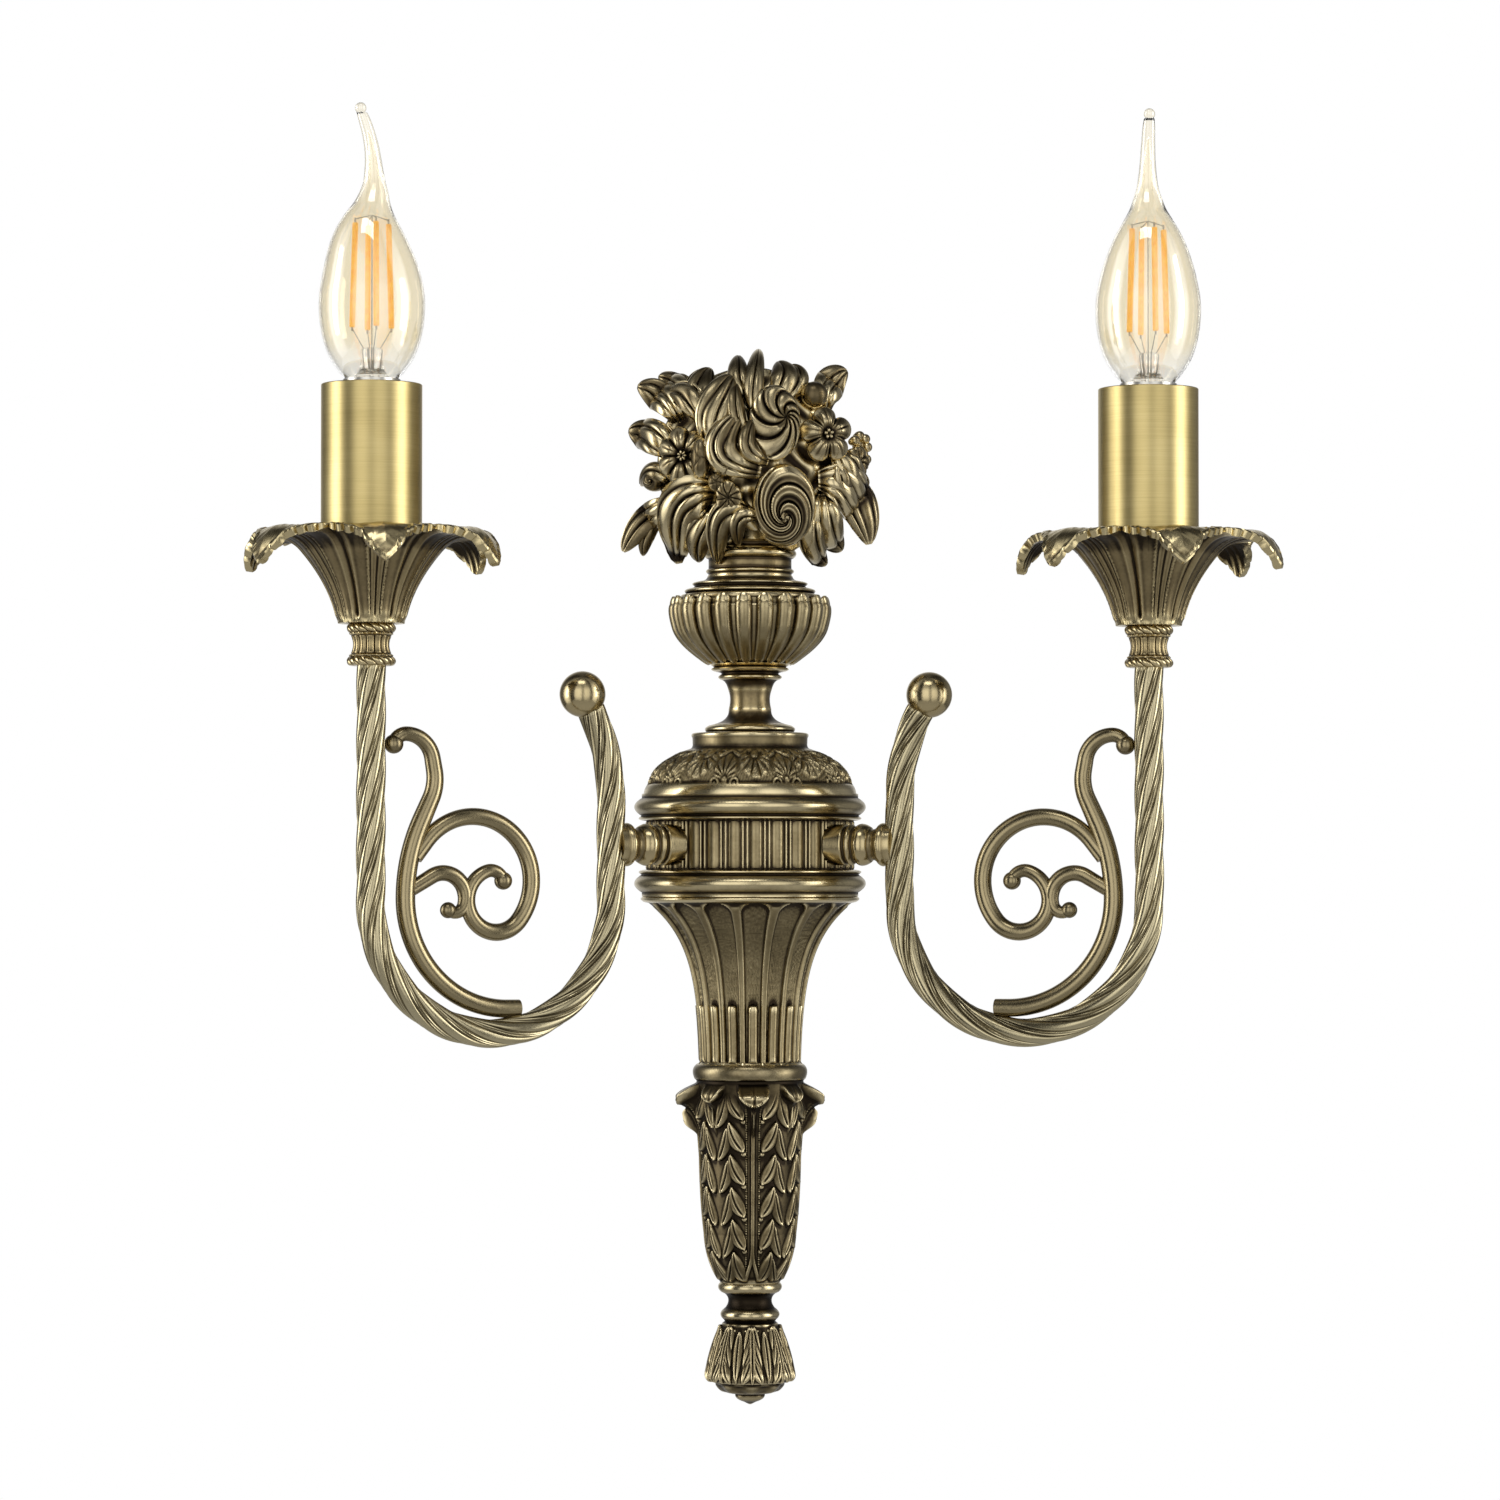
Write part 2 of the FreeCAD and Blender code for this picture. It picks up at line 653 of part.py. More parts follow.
def make_flower(x, up, out, radius, petals):
    """Open flower: one lobed form of overlapping petals round a hollow, with a raised eye."""
    rings = []
    for reach, depth in ((0.7, -0.7), (0.96, -0.2), (1.0, 0.08), (0.8, 0.3), (0.5, 0.2)):
        rings.append(scalloped_ring(radius * depth, radius * (reach - 0.24), radius * reach, petals, 1.0))
    eye = turned((0, 0), (radius * 0.3, 0), ((radius * 0.24, radius * 0.36), (0.4, radius * 0.42)),
                 (0, radius * 0.42))
    flower = loft(rings).fuse(eye)
    flower.rotate(V(0, 0, 0), V(1, 0, 0), 90)
    flower.translate(from_plan((x, up, out)))
    return flower


def make_rose(x, up, out, scale):
    """Full rose: rings of petals that step back from the heart."""
    radius = ROSE_R * scale
    depth = radius * 0.75
    rings = 3
    steps = []
    for index in range(rings):
        outer = radius * (index + 1) / rings
        middle = radius * (index + 0.62) / rings
        steps.append(((middle, depth * (1 - 0.2 * index ** 1.4) + 0.7),
                      (outer, depth * (0.95 - 0.24 * (index + 1) ** 1.2))))
    steps.append((radius * 0.8, -radius))
    steps.append((0, -radius))
    rose = turned((0, depth * 0.9), *steps)
    rose.rotate(V(0, 0, 0), V(1, 0, 0), 90)
    rose.translate(from_plan((x, up, out)))
    return rose


def make_bouquet():
    neck_top = URN_TOP + BOUQUET_NECK_H
    neck = turned(
        (0, URN_TOP),
        (URN_NECK_R, URN_TOP),
        ((URN_NECK_R - 0.7, URN_TOP + 2.4), (URN_NECK_R + 0.2, URN_TOP + 4.8)),
        (BOUQUET_RING_R - 0.4, URN_TOP + 5.0),
        ((BOUQUET_RING_R, URN_TOP + 5.9), (BOUQUET_RING_R - 0.4, URN_TOP + 6.8)),
        ((BOUQUET_RING_R + 1.2, neck_top + 2.0), (BOUQUET_RING_R + 4.5, neck_top + 6.0)),
        (0, neck_top + 6.0),
    )
    neck.translate(V(0, -AXIS_OUT, 0))
    core = Part.makeSphere(CORE_R, V(0, CORE_BACK, URN_TOP + CORE_UP))
    parts = [make_leaf(*leaf) for leaf in LEAVES]
    for flower, petals in zip(FLOWERS, FLOWER_PETAL_COUNTS):
        parts.append(make_flower(*flower, petals))
    parts.extend(make_rose(*rose) for rose in ROSES)
    parts.append(Part.makeSphere(FRUIT_R, from_plan(FRUIT)))
    body = core.fuse([neck] + parts)
    body.translate(V(0, AXIS_OUT, 0))
    return against_wall([body], [rod(ROD_R, URN_TOP - 1, URN_TOP + ROD_GRIP)])


# ---------------------------------------------------------------- arms


def curl_angles():
    """Angles round the curl at the ball's centre, and where the rod meets the ball."""
    curl = math.asin(CURL_RISE / CURL_R)
    ball_flat = math.sqrt(BALL_R ** 2 - ARM_R ** 2)
    curl_end = curl - ball_flat / CURL_R
    return curl, curl_end


def arm_place(distance):
    """Place and direction on the centre line at a distance from the ball's flat."""
    curl, curl_end = curl_angles()
    curl_length = CURL_R * curl_end
    drop = CURL_Z - ARM_BEND_Z
    bend = math.pi * ARM_BEND_R
    if distance < curl_length:
        angle = curl_end - distance / CURL_R
        u = ARM_IN_U + CURL_R * (1 - math.cos(angle))
        return (V(u, 0, CURL_Z + CURL_R * math.sin(angle)),
                V(-math.sin(angle), 0, -math.cos(angle)))
    distance -= curl_length
    if distance < drop:
        return V(ARM_IN_U, 0, CURL_Z - distance), V(0, 0, -1)
    distance -= drop
    if distance < bend:
        angle = distance / ARM_BEND_R
        centre = ARM_IN_U + ARM_BEND_R
        return (V(centre - ARM_BEND_R * math.cos(angle), 0, ARM_BEND_Z - ARM_BEND_R * math.sin(angle)),
                V(math.sin(angle), 0, -math.cos(angle)))
    distance -= bend
    return V(CANDLE_U, 0, ARM_BEND_Z + distance), V(0, 0, 1)


def arm_length():
    curl, curl_end = curl_angles()
    return CURL_R * curl_end + CURL_Z - ARM_BEND_Z + math.pi * ARM_BEND_R + ARM_TOP_Z - ARM_BEND_Z


def arm_section(distance):
    """Section of the twisted rod: round strands, turned by the twist so far."""
    place, along = arm_place(distance)
    side = V(along.z, 0, -along.x)
    out = along.cross(side)
    twist = 2 * math.pi * distance / TWIST_PITCH
    step = 2 * math.pi / STRANDS

    def at(radius, angle):
        return place + side * (radius * math.cos(angle)) + out * (radius * math.sin(angle))

    edges = []
    for index in range(STRANDS):
        start = twist + index * step
        edges.append(bow(at(ARM_GROOVE_R, start), at(ARM_R, start + step / 2),
                         at(ARM_GROOVE_R, start + step)))
    return Part.Wire(edges)


def arm_spine():
    """Centre line of the arm as one wire of lines and arcs."""
    curl, curl_end = curl_angles()

    def curl_point(angle):
        return (ARM_IN_U + CURL_R * (1 - math.cos(angle)), CURL_Z + CURL_R * math.sin(angle))

    middle = ARM_IN_U + ARM_BEND_R
    return Part.Wire(outline(
        curl_point(curl_end),
        (curl_point(curl_end / 2), (ARM_IN_U, CURL_Z)),
        (ARM_IN_U, ARM_BEND_Z),
        ((middle - ARM_BEND_R * math.sqrt(0.5), ARM_BEND_Z - ARM_BEND_R * math.sqrt(0.5)),
         (middle, ARM_BEND_Z - ARM_BEND_R)),
        ((middle + ARM_BEND_R * math.sqrt(0.5), ARM_BEND_Z - ARM_BEND_R * math.sqrt(0.5)),
         (CANDLE_U, ARM_BEND_Z)),
        (CANDLE_U, ARM_TOP_Z),
    ))


def swept(spine, radius):
    """Round bar or bore along a wire of tangent lines and arcs."""
    start = spine.Edges[0]
    origin = start.valueAt(start.FirstParameter)
    along = start.tangentAt(start.FirstParameter)
    circle = Part.Wire(Part.makeCircle(radius, origin, along))
    return spine.makePipeShell([circle], True, False)


def make_arm():
    total = arm_length()
    count = math.ceil(total / TWIST_PITCH * 360 / TWIST_STEP)
    twisted = loft([arm_section(total * index / count) for index in range(count + 1)])
    bore = swept(arm_spine(), ARM_BORE_R)
    side_hole = bar(NIPPLE_R, (ARM_IN_U - ARM_R - 1, 0), (ARM_IN_U, 0))
    socket = bar(NIPPLE_R, (CANDLE_U, ARM_TOP_Z - HOLDER_GRIP), (CANDLE_U, ARM_TOP_Z + 1))
    return twisted.cut(bore).cut(side_hole).cut(socket)


def make_arm_ball():
    curl, curl_end = curl_angles()
    centre = V(ARM_IN_U + CURL_R * (1 - math.cos(curl)), 0, CURL_Z + CURL_R * math.sin(curl))
    place, along = arm_place(0)
    ball = Part.makeSphere(BALL_R, centre)
    beyond = Part.makeCylinder(BALL_R * 2, BALL_R * 2, place, along)
    spigot = Part.makeCylinder(ARM_BORE_R - 0.1, 5.0, place - along * 2, along)
    return ball.cut(beyond).fuse(spigot)


def make_coupling():
    end = ARM_IN_U - ARM_R + COUPLING_LAP
    flare = end - 2.2
    body = turned(
        (NIPPLE_R, SEAT_U),
        (COUPLING_R, SEAT_U),
        (COUPLING_R, SEAT_U + 6.2),
        (COUPLING_R - 0.8, SEAT_U + 6.4),
        (COUPLING_R - 0.8, SEAT_U + 7.2),
        ((COUPLING_R - 0.1, SEAT_U + 8.4), (COUPLING_R - 0.8, SEAT_U + 9.6)),
        (COUPLING_R - 0.8, SEAT_U + 10.2),
        ((COUPLING_R + 0.1, SEAT_U + 13.0), (COUPLING_WAIST_R + 0.1, SEAT_U + 15.8)),
        ((COUPLING_WAIST_R, SEAT_U + 17.2), (COUPLING_R - 0.2, flare)),
        ((COUPLING_R + 0.1, flare + 0.9), (COUPLING_R - 0.2, end)),
        (NIPPLE_R, end),
    )
    body.rotate(V(0, 0, 0), V(0, 1, 0), 90)
    arm = Part.makeCylinder(ARM_R + SEAT_GAP, 4 * COUPLING_R, V(ARM_IN_U, 0, -2 * COUPLING_R))
    return body.cut(arm)


def tube(outer, inner, start, end):
    return bar(outer, start, end).cut(bar(inner, start, end))


def make_side_nipple():
    start = BOSS_U - NUT_H - NIPPLE_PROUD
    whole = bar(NIPPLE_R, (start, 0), (ARM_IN_U - ARM_BORE_R - 0.4, 0))
    return whole.cut(bar(NIPPLE_BORE_R, (start, 0), (ARM_IN_U, 0)))


def hexagon_nut(start, along):
    points = []
    for index in range(7):
        angle = math.pi / 3 * index
        reach = NUT_AF / math.sqrt(3)
        points.append(V(0, reach * math.cos(angle), reach * math.sin(angle)))
    nut = Part.Face(Part.makePolygon(points)).extrude(V(along, 0, 0))
    hole = Part.makeCylinder(NIPPLE_R, along, V(0, 0, 0), V(1, 0, 0))
    nut = nut.cut(hole)
    nut.translate(V(start, 0, 0))
    return nut


# ---------------------------------------------------------------- scroll


def scroll_path(start, heading, *bends):
    """Wire of tangent arcs: a bend is radius and turn in degrees, or a length and 0."""
    u, z = start
    angle = math.radians(heading)
    edges = []
    for size, turn in bends:
        here = V(u, 0, z)
        if turn == 0:
            u += size * math.cos(angle)
            z += size * math.sin(angle)
            edges.append(Part.makeLine(here, V(u, 0, z)))
            continue
        hand = 1 if turn > 0 else -1
        sweep = math.radians(abs(turn))
        centre_u = u - hand * size * math.sin(angle)
        centre_z = z + hand * size * math.cos(angle)

        def reached(part):
            swung = angle + hand * part
            return (centre_u + hand * size * math.sin(swung),
                    centre_z - hand * size * math.cos(swung))

        middle = reached(sweep / 2)
        u, z = reached(sweep)
        edges.append(Part.Arc(here, V(middle[0], 0, middle[1]), V(u, 0, z)).toShape())
        angle += hand * sweep
    return Part.Wire(edges), (u, z)


def scroll_rod(radius, ball_r, start, heading, *bends):
    path, end = scroll_path(start, heading, *bends)
    ball = Part.makeSphere(ball_r, V(end[0], 0, end[1]))
    return swept(path, radius).fuse(ball)


def make_scroll():
    """S-shaped rod with a large volute and a small tendril, coped to lie on the arm."""
    bottom = ARM_BEND_Z - ARM_BEND_R + ARM_R + SCROLL_R
    stem = scroll_rod(SCROLL_R, SCROLL_BALL_R, (CANDLE_U - STEM_IN, bottom), 0,
                      (4.3, 0), (36.6, 90), (60.0, 25), (8.0, 0), (16.0, -35), (4.0, 0),
                      (9.5, -80), (4.6, -60))
    volute = scroll_rod(VOLUTE_R, SCROLL_BALL_R, (CANDLE_U - VOLUTE_IN, VOLUTE_Z), 128,
                        (4.6, 0), (21.2, 180), (10.4, 212), (4.6, 80))
    tendril = scroll_rod(TENDRIL_R, SCROLL_BALL_R - 0.4, (CANDLE_U - TENDRIL_IN, TENDRIL_Z), 150,
                         (7.7, 0), (8.0, 140), (3.6, 80))
    body = stem.fuse([volute, tendril])
    lap = swept(arm_spine(), ARM_R + SEAT_GAP)
    return body.cut(lap)


# ---------------------------------------------------------------- candle side


def make_collar():
    ring = 3.0
    low = ARM_TOP_Z
    high = COLLAR_TOP
    body = turned(
        (NIPPLE_R, low),
        (COLLAR_R - 0.8, low),
        ((COLLAR_R, low + ring / 2), (COLLAR_R - 0.8, low + ring)),
        (COLLAR_WAIST_R + 0.9, low + ring + 0.4),
        ((COLLAR_WAIST_R, (low + high) / 2), (COLLAR_WAIST_R + 0.9, high - ring - 0.4)),
        (COLLAR_R - 0.8, high - ring),
        ((COLLAR_R, high - ring / 2), (COLLAR_R - 0.8, high)),
        (NIPPLE_R, high),
    )
    return on_candle(body)


def make_candle_nipple():
    low = ARM_TOP_Z - HOLDER_GRIP
    high = HOLDER_Z + HOLDER_GRIP
    return tube(NIPPLE_R, NIPPLE_BORE_R, (CANDLE_U, low), (CANDLE_U, high))


def make_bobeche(turn):
    """Leaf cup: a turned sheet that flares, crests and droops, cut to six pointed petals."""
    base = COLLAR_TOP
    tip_z = CREST_Z - PETAL_DROP
    flare_r = BOBECHE_BASE_R + 11.5
    flare_z = base + 0.82 * CREST_RISE
    t = BOBECHE_T
    seat_r = SLEEVE_R + SLEEVE_GAP
    sheet = turned(
        (NIPPLE_R, base),
        (BOBECHE_BASE_R, base),
        ((BOBECHE_BASE_R + 3.8, base + 11.7), (flare_r, flare_z)),
        ((flare_r + 5.1, CREST_Z - 1.1), (CREST_R, CREST_Z)),
        ((CREST_R + 8.6, CREST_Z - 3.6), (PETAL_R, tip_z)),
        (PETAL_R + t, tip_z),
        ((CREST_R + 9.9, CREST_Z - 2.0), (CREST_R, CREST_Z + t)),
        ((flare_r + 4.2, CREST_Z + 0.7), (flare_r - 1.6, flare_z + 1.5)),
        (seat_r, SLEEVE_Z + 1.6),
        (seat_r, SLEEVE_Z),
        (seat_r - SLEEVE_T - 0.8, SLEEVE_Z),
        ((BOBECHE_BASE_R + 1.4, base + 11.0), (BOBECHE_BASE_R - t, base + t)),
        (NIPPLE_R, base + t),
    )
    pitch = 2 * math.pi / PETAL_COUNT

    def at(radius, angle):
        return V(radius * math.sin(angle), -radius * math.cos(angle), base - 1)

    edges = []
    for index in range(PETAL_COUNT):
        centre = pitch * index
        valley = at(PETAL_VALLEY_R, centre - pitch / 2)
        tip = at(PETAL_R, centre)
        after = at(PETAL_VALLEY_R, centre + pitch / 2)
        bulge = PETAL_VALLEY_R + 0.52 * (PETAL_R - PETAL_VALLEY_R)
        edges.append(Part.Arc(valley, at(bulge, centre - pitch * 0.19), tip).toShape())
        edges.append(Part.Arc(tip, at(bulge, centre + pitch * 0.19), after).toShape())
    petals = Part.Face(Part.Wire(edges)).extrude(V(0, 0, 2 * CREST_RISE))
    body = sheet.common(petals)
    body.rotate(V(0, 0, 0), UP, turn)
    return on_candle(body)


def make_holder():
    """Lampholder body: base with the nipple's thread, and the sleeve that holds the socket."""
    inner = CAP_R + BULB_GAP + SHELL_T
    floor = CAP_TIP - 2.0
    body = turned(
        (NIPPLE_R, HOLDER_Z),
        (HOLDER_BASE_R, HOLDER_Z),
        (HOLDER_BASE_R, HOLDER_Z + HOLDER_BASE_H),
        (HOLDER_R, HOLDER_Z + HOLDER_BASE_H + 4.0),
        (HOLDER_R, HOLDER_TOP - 1.0),
        (HOLDER_R - 1.0, HOLDER_TOP),
        (inner, HOLDER_TOP),
        (inner, floor),
        (LEAD_R + 0.6, floor),
        (LEAD_R + 0.6, HOLDER_Z + HOLDER_GRIP),
        (NIPPLE_R, HOLDER_Z + HOLDER_GRIP),
    )
    return on_candle(body)


def make_socket_shell():
    inner = CAP_R + BULB_GAP
    return tube(inner + SHELL_T, inner, (CANDLE_U, HOLDER_TOP - SHELL_H), (CANDLE_U, HOLDER_TOP - 0.5))


def make_socket_contact():
    """Springy centre contact on the floor of the socket."""
    floor = CAP_TIP - 2.0
    return bar(CONTACT_R, (CANDLE_U, floor), (CANDLE_U, CAP_TIP))


def make_sleeve():
    return tube(SLEEVE_R, SLEEVE_R - SLEEVE_T, (CANDLE_U, SLEEVE_Z), (CANDLE_U, SLEEVE_TOP))


def make_bulb_cap():
    body = turned(
        (0, CAP_BOTTOM),
        (CAP_R - 2.0, CAP_BOTTOM),
        (CAP_R, CAP_BOTTOM + 2.5),
        (CAP_R, CAP_TOP),
        (SKIRT_R, SKIRT_TOP - 1.0),
        (SKIRT_R, SKIRT_TOP),
        (SKIRT_R - SKIRT_T, SKIRT_TOP),
        (SKIRT_R - SKIRT_T, SKIRT_TOP - SKIRT_LAP),
        (CAP_R - 0.6, CAP_TOP + 0.6),
        (CAP_R - 0.6, CAP_BOTTOM + 3.0),
        (0, CAP_BOTTOM + 3.0),
    )
    return on_candle(body)


def make_bulb_contact():
    low = CAP_TIP + CONTACT_GAP
    body = turned(
        (0, low),
        (CONTACT_R * 0.5, low),
        ((CONTACT_R * 0.9, low + 0.4), (CONTACT_R, CAP_BOTTOM)),
        (0, CAP_BOTTOM),
    )
    return on_candle(body)


def flame(inset):
    """Outline of the bulb from the cap to the root of its tail, set in by a wall."""
    widest = SKIRT_TOP + BULB_RISE
    root = SKIRT_TOP + FLAME_RISE
    foot_r = SKIRT_R - SKIRT_T - inset
    foot = SKIRT_TOP - SKIRT_LAP
    return turned(
        (0, foot + inset),
        (foot_r, foot + inset),
        (foot_r, SKIRT_TOP + inset + 0.1),
        ((BULB_R - 2.3 - inset, widest - 12.5), (BULB_R - inset, widest)),
        ((BULB_R - 4.6 - inset, widest + 23.0), (TAIL_ROOT_R + 1.3 - inset, root - 5.2)),
        (TAIL_ROOT_R - inset, root),
        (0, root),
    )


def make_bulb_glass(turn):
    root = SKIRT_TOP + FLAME_RISE
    sections = []
    for share, sway in ((0.0, 0.0), (0.12, -0.22), (0.32, -0.34), (0.52, -0.02), (0.76, 0.52),
                        (1.0, 1.0)):
        radius = TAIL_R + (TAIL_ROOT_R - TAIL_R) * (1 - share) ** 3
        centre = V(sway * TAIL_BEND, 0, root + TAIL_L * share)
        sections.append(Part.Wire(Part.makeCircle(radius, centre, UP)))
    tail = loft(sections)
    bead = Part.makeSphere(BEAD_R, V(TAIL_BEND, 0, root + TAIL_L + BEAD_R / 2))
    glass = flame(0).fuse([tail, bead]).cut(flame(GLASS_T))
    glass.rotate(V(0, 0, 0), UP, turn)
    return on_candle(glass)


def make_bulb_stem():
    """Glass stem with the wires that hold the filaments."""
    foot = SKIRT_TOP - SKIRT_LAP + GLASS_T
    feet_z = SKIRT_TOP + FILAMENT_UP
    stem = turned(
        (0, foot),
        (SKIRT_R - 1.6, foot),
        ((STEM_R + 0.6, foot + 3.4), (STEM_R, foot + 8.0)),
        (STEM_R * 0.7, feet_z - 4.0),
        (0, feet_z - 3.0),
    )
    post = rod(WIRE_R * 1.5, feet_z - 4.0, feet_z + FILAMENT_L + 2.0)
    parts = [post]
    for angle in (45, 135, 225, 315):
        reach = V(FILAMENT_OUT * math.cos(math.radians(angle)), FILAMENT_OUT * math.sin(math.radians(angle)), 0)
        low = V(0, 0, feet_z - 4.4)
        foot_end = reach + V(0, 0, feet_z)
        parts.append(Part.makeCylinder(WIRE_R, (foot_end - low).Length, low, foot_end - low))
        top = V(0, 0, feet_z + FILAMENT_L + 1.6)
        top_end = reach * 0.8 + V(0, 0, feet_z + FILAMENT_L)
        parts.append(Part.makeCylinder(WIRE_R, (top_end - top).Length, top, top_end - top))
    return on_candle(stem.fuse(parts))


def make_filaments():
    feet_z = SKIRT_TOP + FILAMENT_UP
    rods = []
    for angle in (45, 135, 225, 315):
        reach = V(FILAMENT_OUT * math.cos(math.radians(angle)), FILAMENT_OUT * math.sin(math.radians(angle)), 0)
        low = reach + V(0, 0, feet_z)
        top = reach * 0.8 + V(0, 0, feet_z + FILAMENT_L)
        rods.append(Part.makeCylinder(FILAMENT_R, (top - low).Length, low, top - low))
    return on_candle(Part.makeCompound(rods))


def make_lead():
    """Two-core wire from the terminal block through coupling and arm to the lampholder."""
    start_u = (BLOCK_W / 2) / math.cos(math.radians(ARM_SWING))
    corner = ARM_IN_U - LEAD_BEND_R
    diagonal = LEAD_BEND_R * math.sqrt(0.5)
    middle = ARM_IN_U + ARM_BEND_R
    bend = ARM_BEND_R * math.sqrt(0.5)
    path = Part.Wire(outline(
        (start_u + 1.0, 0),
        (corner, 0),
        ((corner + diagonal, -LEAD_BEND_R + diagonal), (ARM_IN_U, -LEAD_BEND_R)),
        (ARM_IN_U, ARM_BEND_Z),
        ((middle - bend, ARM_BEND_Z - bend), (middle, ARM_BEND_Z - ARM_BEND_R)),
        ((middle + bend, ARM_BEND_Z - bend), (CANDLE_U, ARM_BEND_Z)),
        (CANDLE_U, CAP_TIP - 2.0),
    ))
    return swept(path, LEAD_R)


# ---------------------------------------------------------------- inside the drum


def make_wall_bracket():
    plate = Part.makeBox(BRACKET_W, BRACKET_T, BRACKET_H, V(-BRACKET_W / 2, -BRACKET_T, -BRACKET_H / 2))
    tab = Part.makeBox(BRACKET_T, TAB_OUT, BRACKET_H * 0.7, V(0, -TAB_OUT, -BRACKET_H * 0.35))
    tabs = []
    for x in (-BRACKET_W / 2, BRACKET_W / 2 - BRACKET_T):
        one = tab.copy()
        one.translate(V(x, 0, 0))
        tabs.append(one)
    body = plate.fuse(tabs)
    for x in (-WALL_HOLE_SPACING / 2, WALL_HOLE_SPACING / 2):
        body = body.cut(Part.makeCylinder(WALL_HOLE_R, BRACKET_T, V(x, -BRACKET_T, 0), V(0, 1, 0)))
    body = body.cut(Part.makeCylinder(CABLE_HOLE_R, BRACKET_T, V(CABLE_HOLE_X, -BRACKET_T, 0), V(0, 1, 0)))
    thread = Part.makeCylinder(GRUB_R, BRACKET_W, V(-BRACKET_W / 2, -GRUB_OUT, 0), V(1, 0, 0))
    return body.cut(thread).removeSplitter()


def make_bracket_screws():
    inner = BRACKET_W / 2 - BRACKET_T - 0.5
    screws = []
    for side in (-1, 1):
        screws.append(Part.makeCylinder(GRUB_R, GRUB_L, V(side * inner, -GRUB_OUT, 0), V(side, 0, 0)))
    return Part.makeCompound(screws)


def make_terminal_block():
    block = Part.makeBox(BLOCK_W, BLOCK_D, BLOCK_H, V(-BLOCK_W / 2, -BLOCK_OUT - BLOCK_D, DRUM_BOTTOM))
    top = DRUM_BOTTOM + BLOCK_H
    for place in terminal_places():
        hole = Part.makeCylinder(POLE_SCREW_R, 6.0, V(place[0], place[1], top - 6.0))
        block = block.cut(hole)
    return block


def terminal_places():
    pitch = BLOCK_W / 3
    return [(pitch * index, -BLOCK_OUT - BLOCK_D / 2) for index in (-1, 0, 1)]


def make_terminal_screws():
    top = DRUM_BOTTOM + BLOCK_H
    return Part.makeCompound([Part.makeCylinder(POLE_SCREW_R, 5.0, V(x, y, top - 6.0))
                              for x, y in terminal_places()])


# ---------------------------------------------------------------- build

save("drum", make_drum())
save("dome", make_dome())
save("urn_foot", make_urn_foot())
save("urn", make_urn())
save("bouquet", make_bouquet())
save("trumpet", make_trumpet())
save("leaf_sheath", make_leaf_sheath())
save("finial", make_finial())
save("tie_rod", make_tie_rod())
save("wall_bracket", make_wall_bracket())
save("bracket_screws", make_bracket_screws())
save("terminal_block", make_terminal_block())
save("terminal_screws", make_terminal_screws())

SIDE_PIECES = {
    "coupling": make_coupling(),
    "side_nipple": make_side_nipple(),
    "side_nut": hexagon_nut(BOSS_U - NUT_H, NUT_H),
    "arm": make_arm(),
    "arm_ball": make_arm_ball(),
    "scroll": make_scroll(),
    "collar": make_collar(),
    "candle_nipple": make_candle_nipple(),
    "holder": make_holder(),
    "socket_shell": make_socket_shell(),
    "socket_contact": make_socket_contact(),
    "candle_sleeve": make_sleeve(),
    "bulb_cap": make_bulb_cap(),
    "bulb_contact": make_bulb_contact(),
    "bulb_stem": make_bulb_stem(),
    "bulb_filaments": make_filaments(),
    "lead": make_lead(),
}
for side, turn in SIDES.items():
    for piece, shape in SIDE_PIECES.items():
        save(piece + "_" + side, on_side(shape, turn))
    save("bulb_glass_" + side, on_side(make_bulb_glass(TAIL_TURNS[side]), turn))
    save("bobeche_" + side, on_side(make_bobeche(PETAL_TURN - turn), turn))
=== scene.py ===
"""Looks of a double arm wall sconce: antique brass castings, twisted arms, leaf cups and amber bulbs.

Lengths in the makers below are millimetres and angles are degrees, on the castings' own axes.
"""

import math

import bmesh
import bpy
import numpy as np
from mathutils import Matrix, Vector


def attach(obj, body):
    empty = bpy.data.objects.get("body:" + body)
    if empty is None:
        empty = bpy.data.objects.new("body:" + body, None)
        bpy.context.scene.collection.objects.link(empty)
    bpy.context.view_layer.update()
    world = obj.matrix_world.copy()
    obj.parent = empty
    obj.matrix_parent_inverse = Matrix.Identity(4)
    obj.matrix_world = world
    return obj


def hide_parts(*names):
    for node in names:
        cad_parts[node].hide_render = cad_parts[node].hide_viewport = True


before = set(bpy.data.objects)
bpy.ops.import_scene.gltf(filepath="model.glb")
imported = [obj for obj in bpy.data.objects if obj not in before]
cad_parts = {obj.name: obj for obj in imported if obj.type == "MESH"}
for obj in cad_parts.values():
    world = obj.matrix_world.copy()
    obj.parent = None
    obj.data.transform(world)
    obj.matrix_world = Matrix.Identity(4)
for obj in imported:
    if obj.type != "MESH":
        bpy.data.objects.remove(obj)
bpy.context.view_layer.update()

MM = 0.001
UP = np.array([0.0, 0.0, 1.0])

# ---------------------------------------------------------------- sizes

AXIS_OUT = 6.0  # the castings' axis stands this far off the wall
ROD_WAY = 6.1  # opening round the tie rod in the castings' webs

DRUM_TOP, DRUM_BOTTOM = 17.5, -17.5
DOME_TOP, FOOT_TOP, URN_TOP = 41.0, 62.0, 92.0
TRUMPET_BOTTOM, SHEATH_BOTTOM, FINIAL_BOTTOM = -74.5, -149.0, -190.5

